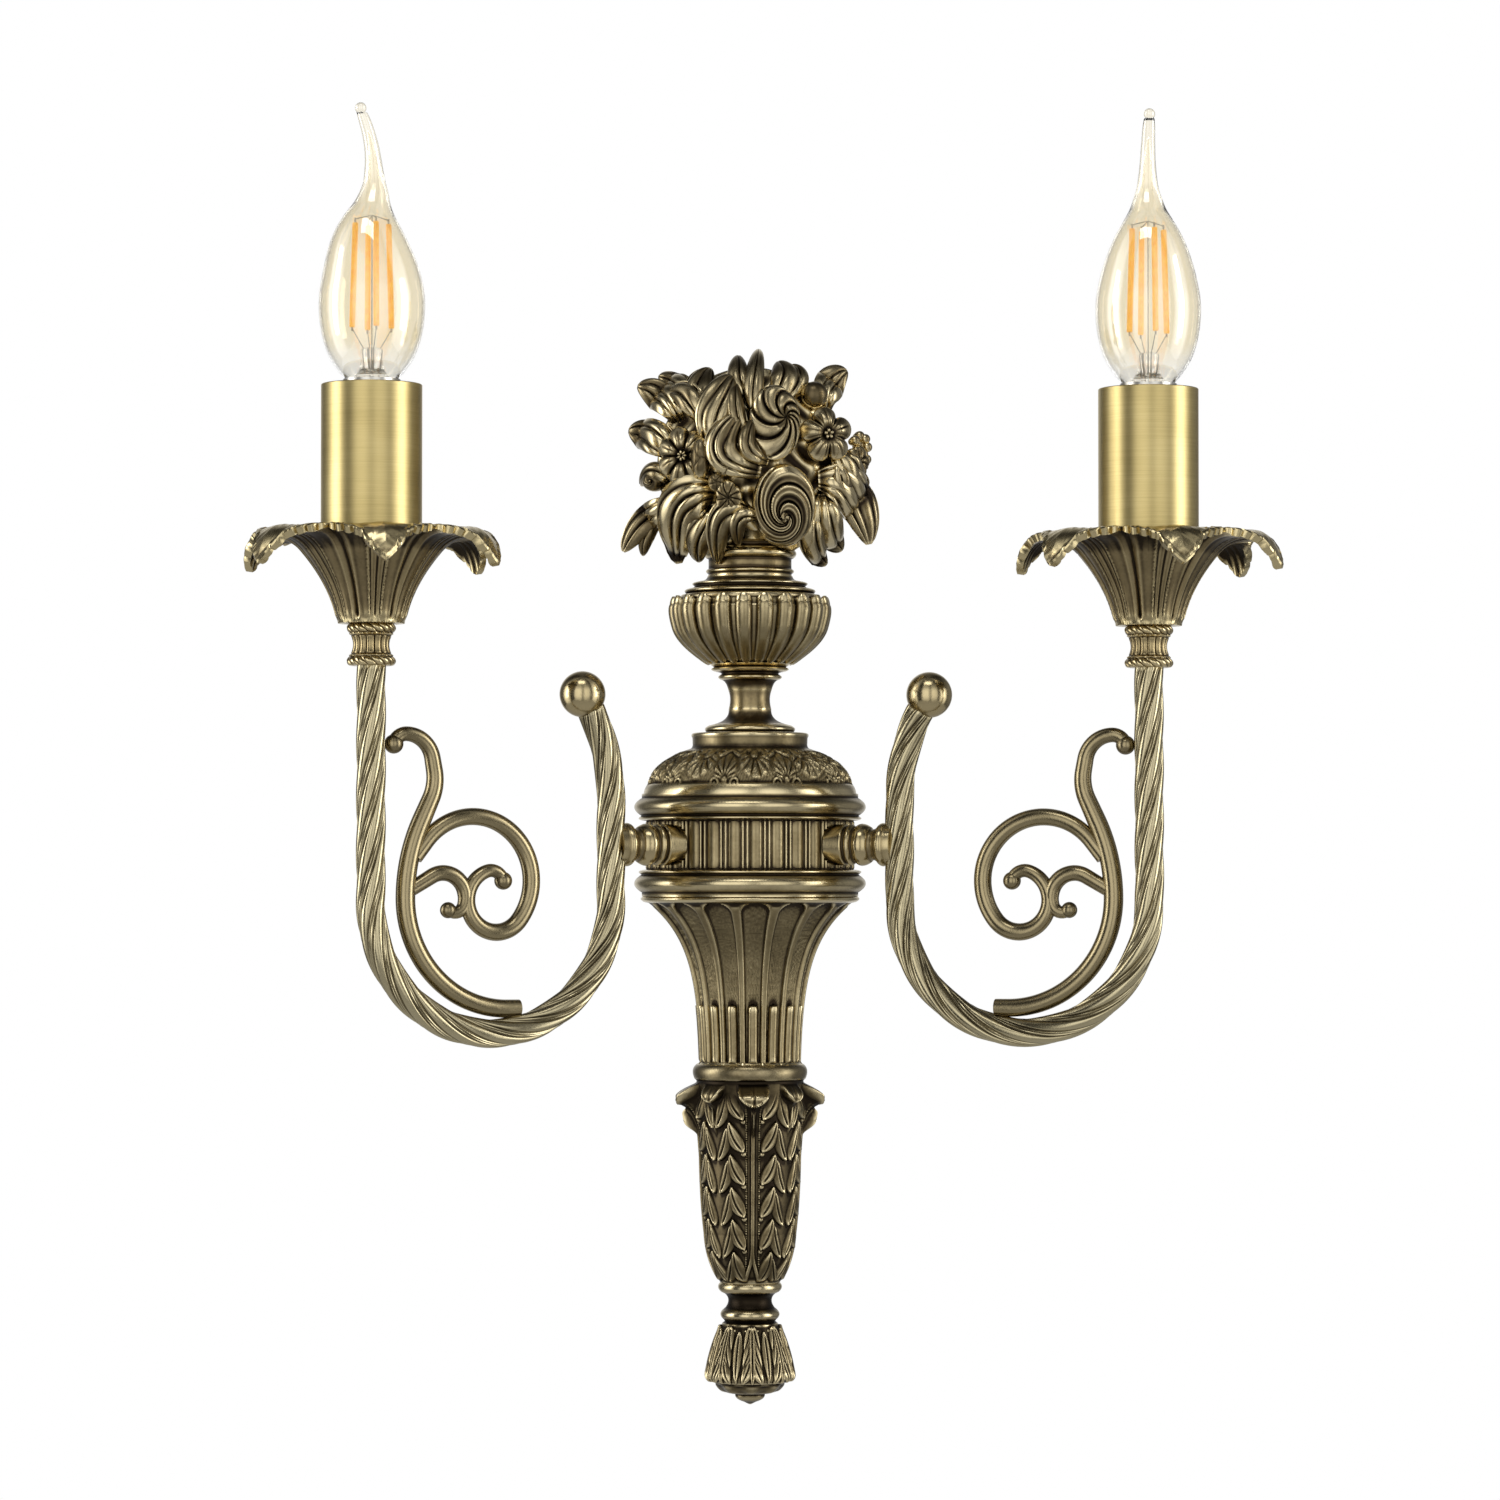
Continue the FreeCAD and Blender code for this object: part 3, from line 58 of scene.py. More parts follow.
ARM_SWING = 24.0  # the arms lean out from the wall by this angle
ARM_CROSS = 10.4  # their planes cross this far in front of the castings' axis
ARM_R, GROOVE_R, STRANDS, TWIST_PITCH = 4.9, 4.15, 5, 90.0
ARM_IN_U, BEND_R, BEND_Z, ARM_TOP_Z = 53.1, 43.5, -19.0, 58.2
SEAT_U = 27.6
CURL_Z, CURL_R, CURL_RISE, BALL_R = 15.0, 64.0, 35.2, 7.7
CANDLE_U = ARM_IN_U + 2 * BEND_R

COLLAR_TOP = 72.0
CREST_R, CREST_RISE = 33.5, 28.4
PETAL_PITCH, PETAL_R, PETAL_DROP, VALLEY_R, PETAL_TURN = 60.0, 46.2, 14.0, 34.0, 7.0
SLEEVE_R, SLEEVE_T, SLEEVE_Z, SLEEVE_TOP = 16.55, 1.05, 90.5, 150.4
GLASS_T, TAIL_SOLID_Z = 0.8, 233.0  # the glass has no hollow above that height

SIDES = {"right": -ARM_SWING, "left": 180 + ARM_SWING}

# ---------------------------------------------------------------- mesh helpers


def rotation(turn):
    """Matrix that turns about Z, in degrees."""
    c, s = math.cos(math.radians(turn)), math.sin(math.radians(turn))
    return np.array([[c, -s, 0.0], [s, c, 0.0], [0.0, 0.0, 1.0]])


def on_side(points, turn):
    """From the plane of an arm, u along X, to the arm's side of the body."""
    return points @ rotation(turn).T + np.array([0.0, -AXIS_OUT - ARM_CROSS, 0.0])


def grid_quads(rows, cols, wrap_rows=False, wrap_cols=False, start=0):
    """Quads of a grid of points that is stored row by row, as lists of point numbers."""
    r = np.arange(rows if wrap_rows else rows - 1)
    c = np.arange(cols if wrap_cols else cols - 1)
    r, c = np.meshgrid(r, c, indexing="ij")
    r2, c2 = (r + 1) % rows, (c + 1) % cols
    quads = np.stack([r * cols + c, r * cols + c2, r2 * cols + c2, r2 * cols + c], -1)
    return (quads.reshape(-1, 4) + start).tolist()


def ring_stack(rings, first_cap=True, last_cap=True):
    """Points and faces of rings of points stacked along a form, with the asked ends closed."""
    rows, cols = rings.shape[:2]
    faces = grid_quads(rows, cols, wrap_cols=True)
    if first_cap:
        faces.append(list(range(cols))[::-1])
    if last_cap:
        faces.append([(rows - 1) * cols + k for k in range(cols)])
    return rings.reshape(-1, 3), faces


def joined(parts):
    """Several closed forms as one list of points and faces."""
    points, faces, start = [], [], 0
    for part_points, part_faces in parts:
        points.append(part_points)
        faces += [[v + start for v in f] for f in part_faces]
        start += len(part_points)
    return np.concatenate(points), faces


def unit(v):
    return v / np.linalg.norm(v, axis=-1, keepdims=True)


def circle_angles(cols):
    return np.arange(cols) * 2 * np.pi / cols


def smooth_step(x, low, high):
    t = np.clip((x - low) / (high - low), 0, 1)
    return t * t * (3 - 2 * t)


def crown(x, half, sharp=1.0):
    """Round hump that is 1 at 0 and falls to 0 at half."""
    return np.sqrt(np.clip(1 - (np.abs(x) / half) ** 2, 0, 1)) ** sharp


def off_middle(x, pitch):
    """How far x is from the middle of its own step, where a step is centred on 0."""
    return (x + pitch / 2) % pitch - pitch / 2


def humps(x, sharp=1.0):
    """Row of round humps, one in each whole step of x."""
    return crown(x % 1.0 - 0.5, 0.5, sharp)


def ridge(x, wide):
    """Soft hump that is 1 at 0."""
    return np.exp(-(x / wide) ** 2)


def new_object(name, data):
    obj = bpy.data.objects.new(name, data)
    bpy.context.scene.collection.objects.link(obj)
    return obj


def weld(mesh, drop_slivers=True, outwards=True):
    """Merge points that meet, and turn the faces outwards."""
    bm = bmesh.new()
    bm.from_mesh(mesh)
    bmesh.ops.remove_doubles(bm, verts=bm.verts, dist=2e-6)
    if drop_slivers:
        bmesh.ops.dissolve_degenerate(bm, dist=1e-7, edges=bm.edges)
    if outwards:
        bmesh.ops.recalc_face_normals(bm, faces=bm.faces)
    bm.to_mesh(mesh)
    bm.free()


def make_piece(name, points, faces, material, edge_angle=38, outwards=True):
    """Mesh object at the origin, smooth but for its edges, with its wear written on its points."""
    mesh = bpy.data.meshes.new(name)
    mesh.from_pydata((np.asarray(points) * MM).tolist(), [], faces)
    weld(mesh, outwards=outwards)
    mesh.materials.append(material)
    finish_mesh(mesh, edge_angle)
    return new_object(name, mesh)


def finish_mesh(mesh, edge_angle=38):
    mesh.shade_smooth()
    mesh.set_sharp_from_angle(angle=math.radians(edge_angle))
    wear = mesh.attributes.get("wear") or mesh.attributes.new("wear", "FLOAT", "POINT")
    wear.data.foreach_set("value", wear_of(mesh).astype(np.float32))


def read_vectors(items, attribute, count):
    values = np.empty(count * 3)
    items.foreach_get(attribute, values)
    return values.reshape(-1, 3)


def wear_of(mesh):
    """How much each point stands proud of its neighbourhood: 0 in a recess, 1 on a crown."""
    count = len(mesh.vertices)
    co = read_vectors(mesh.vertices, "co", count) / MM
    normal = read_vectors(mesh.vertices, "normal", count)
    edges = np.empty(len(mesh.edges) * 2, np.int64)
    mesh.edges.foreach_get("vertices", edges)
    edges = edges.reshape(-1, 2)
    a = np.concatenate([edges[:, 0], edges[:, 1]])
    b = np.concatenate([edges[:, 1], edges[:, 0]])
    share = 1.0 / np.maximum(np.bincount(a, minlength=count), 1)
    flat = co.copy()
    proud = np.zeros(count)
    looks = (4, 12, 24)  # steps of smoothing after which a point is compared with its neighbourhood
    for step in range(1, looks[-1] + 1):
        flat = np.stack([np.bincount(a, flat[b, k], count) for k in range(3)], -1) * share[:, None]
        if step in looks:
            proud += ((co - flat) * normal).sum(1) / math.sqrt(step / 12)
    reach = max(np.percentile(np.abs(proud), 80), 0.12)
    return np.clip(0.5 + 0.32 * proud / reach, 0, 1)


def set_on(obj, body, slot, *nodes):
    """Let a piece ride on a body and stand for its CAD nodes."""
    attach(obj, body)
    if nodes:
        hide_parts(*nodes)
    return obj


def bow(start, middle, end, t):
    """Points of a curve from start to end that passes middle halfway."""
    pull = 2 * middle - (start + end) / 2
    return (1 - t) ** 2 * start + 2 * t * (1 - t) * pull + t ** 2 * end


def profile(start, *steps, spacing=0.45):
    """Points along a section: a step is a point, or a pair of a point passed halfway and a point."""
    path = [np.array([start], float)]
    here = np.array(start, float)
    for step in steps:
        bent = isinstance(step[0], tuple)
        middle, there = np.array(step if bent else ((here + step) / 2, step), float)
        length = np.linalg.norm(middle - here) + np.linalg.norm(there - middle)
        t = np.linspace(0, 1, max(int(length / spacing), 5 if bent else 1) + 1)[1:, None]
        path.append(bow(here, middle, there, t) if bent else here + (there - here) * t)
        here = there
    return np.concatenate(path)


def section_normals(points):
    """Outward normals of a section that runs downwards on the outside."""
    along = np.gradient(points, axis=0)
    along /= np.maximum(np.linalg.norm(along, axis=1), 1e-9)[:, None]
    return np.stack([-along[:, 1], along[:, 0]], -1)


def casting(name, outer, inner, relief, cols, material, slot, *nodes):
    """Casting about the body's axis, cut flat at the wall and open there where it has an inner wall.

    outer runs down the outside and inner back up the inside, as radius and height. relief gives
    the height of the ornament on the outside from an angle in degrees and a height.
    """
    loop = np.concatenate([outer, inner])
    rows = len(loop)
    t = np.linspace(-1, 1, cols)
    half = np.degrees(np.arccos(np.clip(-AXIS_OUT / np.maximum(loop[:, 0], 1e-6), -1, 1)))
    angle = half[:, None] * t[None, :]
    radius = np.repeat(loop[:, :1], cols, 1)
    height = np.repeat(loop[:, 1:], cols, 1)
    if relief is not None:
        n = len(outer)
        normal = section_normals(outer)
        rise = relief(angle[:n], height[:n])
        rise = rise * smooth_step(outer[:, 0], 0.3, 3.0)[:, None]
        radius[:n] += normal[:, :1] * rise
        height[:n] += normal[:, 1:] * rise
    phi = np.radians(angle)
    points = np.stack([radius * np.sin(phi), -AXIS_OUT - radius * np.cos(phi), height], -1)
    points[:, [0, -1], 1] = np.where(half[:, None] < 179.9, 0.0, points[:, [0, -1], 1])
    points[..., 1] = np.minimum(points[..., 1], 0.0)
    faces = grid_quads(rows, cols, wrap_rows=True)
    left = [r * cols for r in range(rows)]
    right = [r * cols + cols - 1 for r in range(rows)]
    if len(inner):
        faces += [left[::-1], right]
    else:
        faces += [[left[r], right[r], right[r + 1], left[r + 1]] for r in range(rows - 1)]
    obj = make_piece(name, points.reshape(-1, 3), faces, material)
    return set_on(obj, "root", slot, *nodes)


def turning(name, section, centre_u, turn, material, cols=96, relief=None, edge_angle=38):
    """Closed turned form about the candle's axis, or any upright axis in the plane of an arm."""
    rows = len(section)
    angle = np.arange(cols) * 360 / cols
    radius = np.repeat(section[:, :1], cols, 1)
    height = np.repeat(section[:, 1:], cols, 1)
    grid = np.repeat(angle[None], rows, 0)
    if relief is not None:
        radius = radius + relief(grid, height) * (section[:, :1] > 0.3)
    phi = np.radians(grid)
    points = np.stack([centre_u + radius * np.cos(phi), radius * np.sin(phi), height], -1)
    faces = grid_quads(rows, cols, wrap_rows=True, wrap_cols=True)
    return make_piece(name, on_side(points.reshape(-1, 3), turn), faces, material, edge_angle)


# ---------------------------------------------------------------- node trees


def link(tree, source, target):
    tree.links.new(source, target)


def feed(tree, socket, value):
    """Set a socket, or link it where the value is another socket."""
    if isinstance(value, bpy.types.NodeSocket):
        link(tree, value, socket)
    else:
        socket.default_value = value


def add(tree, kind, **values):
    """A new node: each key is a setting of the node, or else one of its inputs."""
    node = tree.nodes.new(kind)
    for key, value in values.items():
        if hasattr(node, key):
            setattr(node, key, value)
        else:
            feed(tree, node.inputs[key.replace("_", " ")], value)
    return node


def math_node(tree, operation, *values):
    node = add(tree, "ShaderNodeMath", operation=operation)
    for socket, value in zip(node.inputs, values):
        feed(tree, socket, value)
    return node.outputs[0]


def ramp(tree, level, stops):
    """Colour at a level, from stops of a place and a colour or a single grey."""
    node = add(tree, "ShaderNodeValToRGB", Fac=level)
    elements = node.color_ramp.elements
    while len(elements) < len(stops):
        elements.new(0.5)
    for element, (place, color) in zip(elements, stops):
        element.position = place
        element.color = (*color, 1.0) if isinstance(color, tuple) else (color, color, color, 1.0)
    return node.outputs["Color"]


def map_range(tree, value, from_low, from_high, low=0.0, high=1.0, kind="LINEAR"):
    node = add(tree, "ShaderNodeMapRange", interpolation_type=kind, Value=value, From_Min=from_low,
               From_Max=from_high, To_Min=low, To_Max=high)
    return node.outputs[0]


def noise(tree, place, scale, detail=3.0, roughness=0.55, stretch=None):
    if stretch is not None:
        place = add(tree, "ShaderNodeMapping", Scale=stretch, Vector=place).outputs[0]
    node = add(tree, "ShaderNodeTexNoise", Scale=scale, Detail=detail, Roughness=roughness, Vector=place)
    return node.outputs["Fac"]


def split_place(tree, place, axis):
    return add(tree, "ShaderNodeSeparateXYZ", Vector=place).outputs[axis]


def new_material(name):
    material = bpy.data.materials.new(name)
    material.use_nodes = True
    tree = material.node_tree
    place = add(tree, "ShaderNodeTexCoord").outputs["Object"]
    return material, tree, tree.nodes["Principled BSDF"], place


def dress_shader(tree, shader, **values):
    for key, value in values.items():
        feed(tree, shader.inputs[key.replace("_", " ")], value)


def bump(tree, height, strength, distance):
    return add(tree, "ShaderNodeBump", Strength=strength, Distance=distance, Height=height).outputs["Normal"]


def antique_brass(name, dark, body, bright, gloss, wax=0.16):
    """Brass with dark wax left in the recesses and the crowns rubbed bright."""
    material, tree, shader, place = new_material(name)
    cloud, fine = noise(tree, place, 90, 4.0), noise(tree, place, 900)
    wear = add(tree, "ShaderNodeAttribute", attribute_name="wear").outputs["Fac"]
    mottled = math_node(tree, "MULTIPLY_ADD", cloud, 0.22, wear)
    grained = math_node(tree, "MULTIPLY_ADD", fine, 0.10, mottled)
    level = math_node(tree, "SUBTRACT", grained, wax)
    dull = map_range(tree, level, 0.3, 0.75, gloss + 0.22, gloss)
    grain = math_node(tree, "ADD", fine, noise(tree, place, 2600, 2.0))
    dress_shader(
        tree, shader, Metallic=1.0, Normal=bump(tree, grain, 0.10, 0.0002),
        Base_Color=ramp(tree, level, [(0.30, dark), (0.50, body), (0.78, bright)]),
        Roughness=math_node(tree, "MULTIPLY_ADD", noise(tree, place, 260, 2.0), 0.10, dull),
    )
    return material


def satin_brass(name):
    """Lathe-brushed sleeve: fine rings round it and soft clouds of tone."""
    material, tree, shader, place = new_material(name)
    rings = noise(tree, place, 40, 4.0, 0.7, stretch=(1.0, 1.0, 90.0))
    cloud = math_node(tree, "MULTIPLY", noise(tree, place, 38, 2.0), 0.55)
    stops = [(0.30, (0.43, 0.335, 0.135)), (0.52, (0.56, 0.45, 0.20)), (0.72, (0.66, 0.55, 0.27))]
    dress_shader(
        tree, shader, Metallic=1.0, Normal=bump(tree, rings, 0.12, 0.0001),
        Base_Color=ramp(tree, math_node(tree, "MULTIPLY_ADD", rings, 0.45, cloud), stops),
        Roughness=map_range(tree, rings, 0.0, 1.0, 0.26, 0.40),
    )
    return material


def plain_finish(name, low, high, roughness, metallic=0.0):
    """Small hidden parts: a finish with a little cloud in its colour and gloss."""
    material, tree, shader, place = new_material(name)
    cloud = noise(tree, place, 220, 4.0)
    dress_shader(
        tree, shader, Metallic=metallic, Normal=bump(tree, noise(tree, place, 1320), 0.1, 0.0002),
        Base_Color=ramp(tree, cloud, [(0.3, low), (0.7, high)]),
        Roughness=math_node(tree, "MULTIPLY_ADD", cloud, 0.16, roughness - 0.08),
    )
    return material


def bulb_glass_finish(name, low, high, foot, tip):
    """Glass that is clear at its foot and amber above, with faint streaks of its coating."""
    material, tree, shader, place = new_material(name)
    climb = map_range(tree, split_place(tree, place, "Z"), foot * MM, tip * MM, kind="SMOOTHSTEP")
    climb = math_node(tree, "SUBTRACT", climb, 0.12)
    streak = math_node(tree, "MULTIPLY_ADD", noise(tree, place, 60, 2.0), 0.25, climb)
    dress_shader(
        tree, shader, Transmission_Weight=1.0, IOR=1.5, Coat_Weight=1.0, Coat_Roughness=0.02, Coat_IOR=1.9,
        Base_Color=ramp(tree, streak, [(0.05, low), (0.8, high)]),
        Roughness=math_node(tree, "MULTIPLY_ADD", noise(tree, place, 300, 2.0), 0.03, 0.0),
    )
    return material


def glowing_filament_finish(name):
    material, tree, shader, place = new_material(name)
    glow = ramp(tree, noise(tree, place, 500, 2.0), [(0.3, (0.92, 0.42, 0.02)), (0.7, (1.0, 0.56, 0.05))])
    # painted glow: a faint emission makes the coated filaments shine orange, with no lamp in the bulbs
    dress_shader(tree, shader, Base_Color=glow, Emission_Color=glow, Emission_Strength=0.55, Roughness=0.45)
    return material


CAST = antique_brass("cast_brass", (0.035, 0.025, 0.015), (0.245, 0.195, 0.103), (0.68, 0.575, 0.345), 0.15)
FLOWER = antique_brass("flower_brass", (0.024, 0.017, 0.011), (0.16, 0.124, 0.065), (0.66, 0.555, 0.335), 0.15, 0.24)
LEAF = antique_brass("leaf_brass", (0.022, 0.016, 0.010), (0.14, 0.109, 0.057), (0.64, 0.54, 0.325), 0.15, 0.25)
CUP = antique_brass("cup_brass", (0.035, 0.026, 0.016), (0.27, 0.21, 0.11), (0.60, 0.50, 0.28), 0.17)
TURNED = antique_brass("turned_brass", (0.06, 0.042, 0.022), (0.37, 0.29, 0.15), (0.66, 0.545, 0.31), 0.12)
SMOOTH = antique_brass("smooth_brass", (0.10, 0.075, 0.04), (0.36, 0.285, 0.15), (0.50, 0.41, 0.23), 0.13)
# arm and scroll brass are darker than the cast brass, partly in their own tone and partly as painted shade that
# stands in for the dimmer light at the arms' low bends and the scrolls
SHADED_ARM_BRASS = antique_brass("arm_brass", (0.030, 0.023, 0.014), (0.17, 0.139, 0.078), (0.51, 0.445, 0.28), 0.15)
SHADED_SCROLL_BRASS = antique_brass("scroll_brass", (0.040, 0.030, 0.017), (0.105, 0.083, 0.046), (0.34, 0.28, 0.16), 0.17)
SATIN = satin_brass("satin_brass")
ZINC = plain_finish("zinc_steel", (0.46, 0.46, 0.45), (0.62, 0.62, 0.60), 0.38, 1.0)
CAP_METAL = plain_finish("cap_metal", (0.60, 0.58, 0.52), (0.74, 0.72, 0.66), 0.28, 1.0)
PORCELAIN = plain_finish("porcelain", (0.80, 0.79, 0.75), (0.88, 0.87, 0.83), 0.22)
HOLDER = plain_finish("holder_plastic", (0.02, 0.02, 0.02), (0.035, 0.035, 0.035), 0.5)
WIRE_COVER = plain_finish("wire_cover", (0.78, 0.77, 0.72), (0.86, 0.85, 0.80), 0.5)
WIRE = plain_finish("support_wire", (0.35, 0.33, 0.30), (0.55, 0.52, 0.48), 0.35, 1.0)
AMBER = bulb_glass_finish("amber_glass", (0.99, 0.985, 0.96), (0.97, 0.912, 0.765), 152, 172)
CLEAR = bulb_glass_finish("clear_glass", (0.97, 0.98, 0.98), (0.96, 0.97, 0.97), 150, 170)
GLOWING_FILAMENT = glowing_filament_finish("filament")

# ---------------------------------------------------------------- castings of the body


def make_drum():
    outer = profile(
        (30.5, DRUM_TOP), (37.0, DRUM_TOP), (37.0, 16.1), (37.4, 15.9),
        ((39.6, 13.0), (37.2, 10.1)), (37.2, 9.9), ((38.1, 9.1), (37.0, 8.5)), (35.4, 8.3),
        (35.4, -8.3), (37.0, -8.5), ((38.1, -9.1), (37.2, -9.9)), (37.2, -10.1),
        ((39.6, -13.0), (37.4, -15.9)), (37.0, -16.1), (37.0, DRUM_BOTTOM), (30.5, DRUM_BOTTOM),
    )
    inner = profile((30.0, DRUM_BOTTOM + 0.3), (30.0, DRUM_TOP - 0.3), spacing=4)

    def reeds(angle, height):
        pitch = 12.0
        across = off_middle(angle, pitch)
        wide = crown(across, 3.5) * 1.15 - 0.85
        thin = crown(np.abs(across) - 4.75, 0.72) * 0.7 - 0.45
        band = smooth_step(8.2 - np.abs(height), 0.0, 0.35)
        return np.maximum(np.maximum(wide, thin), -0.95) * band

    casting("drum_casting", outer, inner, reeds, 880, CAST, "cast_brass", "drum")


def palmette(across, up):
    """Fan of seven lobes over a small bud between two curls; up runs from 0 to 1."""
    reach = np.hypot(across, up * 11.0 - 1.6) + 1e-6
    lean = np.degrees(np.arctan2(across, up * 11.0 - 1.6))
    lobe = np.cos(np.radians(off_middle(lean, 26.0)) * 6.9)
    length = 9.2 - 0.05 * np.abs(lean)
    fan = np.clip(lobe, 0, 1) ** 0.7 * smooth_step(length - reach, 0, 1.5) * smooth_step(reach, 1.2, 3.0)
    fan = fan * (np.abs(lean) < 93)
    ring = np.hypot(np.abs(across) - 4.3, up * 11.0 + 0.1)
    curl = crown(ring - 1.7, 0.62) + crown(ring, 0.8)
    bud = crown(np.hypot(across, (up * 11.0 - 1.0) * 0.8), 1.25)
    return np.maximum(np.maximum(fan * 0.95, curl * 0.9), bud)


def make_dome():
    outer = profile(
        (ROD_WAY, DOME_TOP), (14.0, DOME_TOP), ((15.4, 39.9), (14.9, 38.7)), (15.0, 38.4), (18.9, 38.4),
        ((20.0, 37.9), (19.7, 36.6)), (19.6, 34.2), ((19.9, 33.4), (20.4, 33.0)),
        ((30.8, 27.8), (35.0, 21.0)), ((36.0, 19.2), (36.4, DRUM_TOP)),
    )
    inner = profile(
        (33.4, DRUM_TOP), (32.4, 19.5), ((28.2, 25.5), (18.0, 29.0)), (18.0, 33.2), (ROD_WAY, 33.2), spacing=3,
    )

    def frieze(angle, height):
        radius = np.interp(-height, [-32.4, -30, -27.5, -24, -20.5], [21.2, 26.5, 30.7, 33.4, 35.0])
        pitch = 36.0
        across = np.radians(off_middle(angle, pitch)) * radius
        between = np.radians(angle % pitch - pitch / 2) * radius
        up = np.clip((height - 20.8) / 11.4, 0, 1)
        fans = palmette(across * 0.96, 1.02 - up)
        stems = palmette(between * 1.25, up) * 0.8
        band = smooth_step(height, 20.6, 21.4) * (1 - smooth_step(height, 31.6, 32.3))
        grain = 0.10 * np.sin(angle * 9.1 + height * 7) * np.sin(height * 9.7 - angle * 5.3)
        return (np.maximum(fans, stems) * 0.95 - 0.75 + grain) * band

    casting("dome_casting", outer, inner, frieze, 880, CAST, "cast_brass", "dome")


def make_urn_foot():
    outer = profile(
        (0.0, FOOT_TOP), (14.0, FOOT_TOP), ((12.7, 61.2), (12.2, 60.9)), ((13.3, 60.2), (12.3, 59.5)),
        (10.6, 59.2), ((9.8, 58.8), (9.9, 58.4)), ((10.9, 57.5), (9.9, 56.6)), ((8.4, 55.6), (7.4, 53.0)),
        ((6.8, 50.0), (7.3, 46.6)), ((8.6, 43.2), (13.2, 41.2)), (13.4, DOME_TOP), (0.0, DOME_TOP), spacing=0.3,
    )
    casting("foot_casting", outer, outer[:0], None, 200, TURNED, "turned_brass", "urn_foot")


def make_urn():
    bowl_top, bowl_low = 85.2, 61.7
    outer = profile(
        (ROD_WAY, URN_TOP), (14.6, URN_TOP), ((15.4, 90.8), (17.6, 90.2)), ((19.7, 89.6), (19.0, 88.8)),
        ((19.2, 88.3), (20.2, 87.9)), ((22.3, 87.2), (21.8, 86.2)), (22.8, 85.7), ((25.4, 84.7), (26.3, 82.0)),
        ((26.7, 79.6), (25.7, 74.8)), ((22.9, 69.4), (17.2, 64.0)), ((15.6, 62.8), (14.2, FOOT_TOP)),
        (ROD_WAY, FOOT_TOP),
    )
    inner = profile((ROD_WAY, 66.5), (12.4, 66.8), ((20.0, 72.5), (22.0, 78.5)), (20.8, 83.6),
                    (ROD_WAY, 84.0), spacing=3)

    def gadroons(angle, height):
        pitch = 360 / 22
        across = (angle % pitch) / pitch * 2 - 1
        rib = crown(across, 0.80, 0.9)
        top = bowl_top - 3.0 * (1 - crown(across, 1.0))
        low = bowl_low + 1.6 * (1 - crown(across, 1.0))
        inside = smooth_step(top - height, 0, 0.7) * smooth_step(height - low, 0, 0.5)
        spread = 0.55 + 0.75 * smooth_step(height, 62.8, 75.0)
        band = smooth_step(bowl_top + 0.5 - height, 0, 0.5)
        return (inside * (rib * 2.1 * spread) - 1.15 * spread) * band

    casting("urn_casting", outer, inner, gadroons, 900, CAST, "cast_brass", "urn")


def make_trumpet():
    def flare(depth):
        """Outer radius at a depth below the drum."""
        return 16.7 + 20.9 * math.exp(-depth / 14.5)

    stations = [(flare(d), DRUM_BOTTOM - d) for d in np.linspace(2.2, 56.4, 120)]
    outer = np.concatenate([
        profile((30.0, DRUM_BOTTOM), (36.6, DRUM_BOTTOM), ((37.4, -18.4), (36.2, -19.4)), stations[0]),
        np.array(stations[1:]),
        profile((17.2, -74.0), (17.6, TRUMPET_BOTTOM), (ROD_WAY, TRUMPET_BOTTOM)),
    ])
    inner = np.array([(ROD_WAY, -70.5)] + [(flare(d) - 5.0, DRUM_BOTTOM - d)
                                          for d in np.linspace(53, 3, 24)])

    def flutes(angle, height):
        pitch = 24.0
        radius = np.interp(-height, -np.array([s[1] for s in stations]), [s[0] for s in stations])
        across = off_middle(angle, pitch) * np.pi / 180 * radius
        half = pitch / 2 * np.pi / 180 * radius
        lip = 0.72 + 0.055 * (radius - 17)
        flute = half - lip
        top = -20.6 - flute * 0.55 + flute * 0.75 * crown(across, flute)
        inside = smooth_step(flute - np.abs(across), 0.0, 0.5) * smooth_step(top - height, 0, 0.9)
        inside = inside * smooth_step(height, -73.9, -73.2)
        hollow = -1.55 * crown(across, flute * 1.05, 0.7)
        grain = 0.16 * np.sin(angle * 23 + np.sin(height * 8) * 2) * np.sin(height * 11.3 + angle * 7.0)
        grain = grain * (np.abs(across) < flute * 0.72)
        cable_top = -55.2 + 1.2 * crown(across, 1.7)
        cable = crown(across, 1.75) * 2.0 * smooth_step(cable_top - height, 0, 0.8)
        rib = 0.28 * crown(np.abs(across) - half, lip)
        return inside * np.maximum(hollow + grain, hollow + cable) + rib * (1 - inside) * (height < -21)

    casting("trumpet_casting", outer, inner, flutes, 760, CAST, "cast_brass", "trumpet")


def leaf_rise(x, z, root, tip, width, bend=0.0, vein=0.35):
    """Height of one carved leaf on unrolled ground, from its root to its tip."""
    run = np.array(tip, float) - np.array(root, float)
    length = np.linalg.norm(run)
    run /= length
    along = ((x - root[0]) * run[0] + (z - root[1]) * run[1]) / length
    across = (x - root[0]) * run[1] - (z - root[1]) * run[0] - bend * np.sin(np.pi * np.clip(along, 0, 1))
    half = width / 2 * np.sin(np.pi * np.clip(along, 0.0, 1.0) ** 0.8) ** 0.75 + 1e-4
    body = crown(across, half, 1.1) * (along > 0) * (along < 1)
    groove = vein * ridge(across, 0.32) * smooth_step(along, 0.02, 0.2)
    return body * (1.0 - groove)


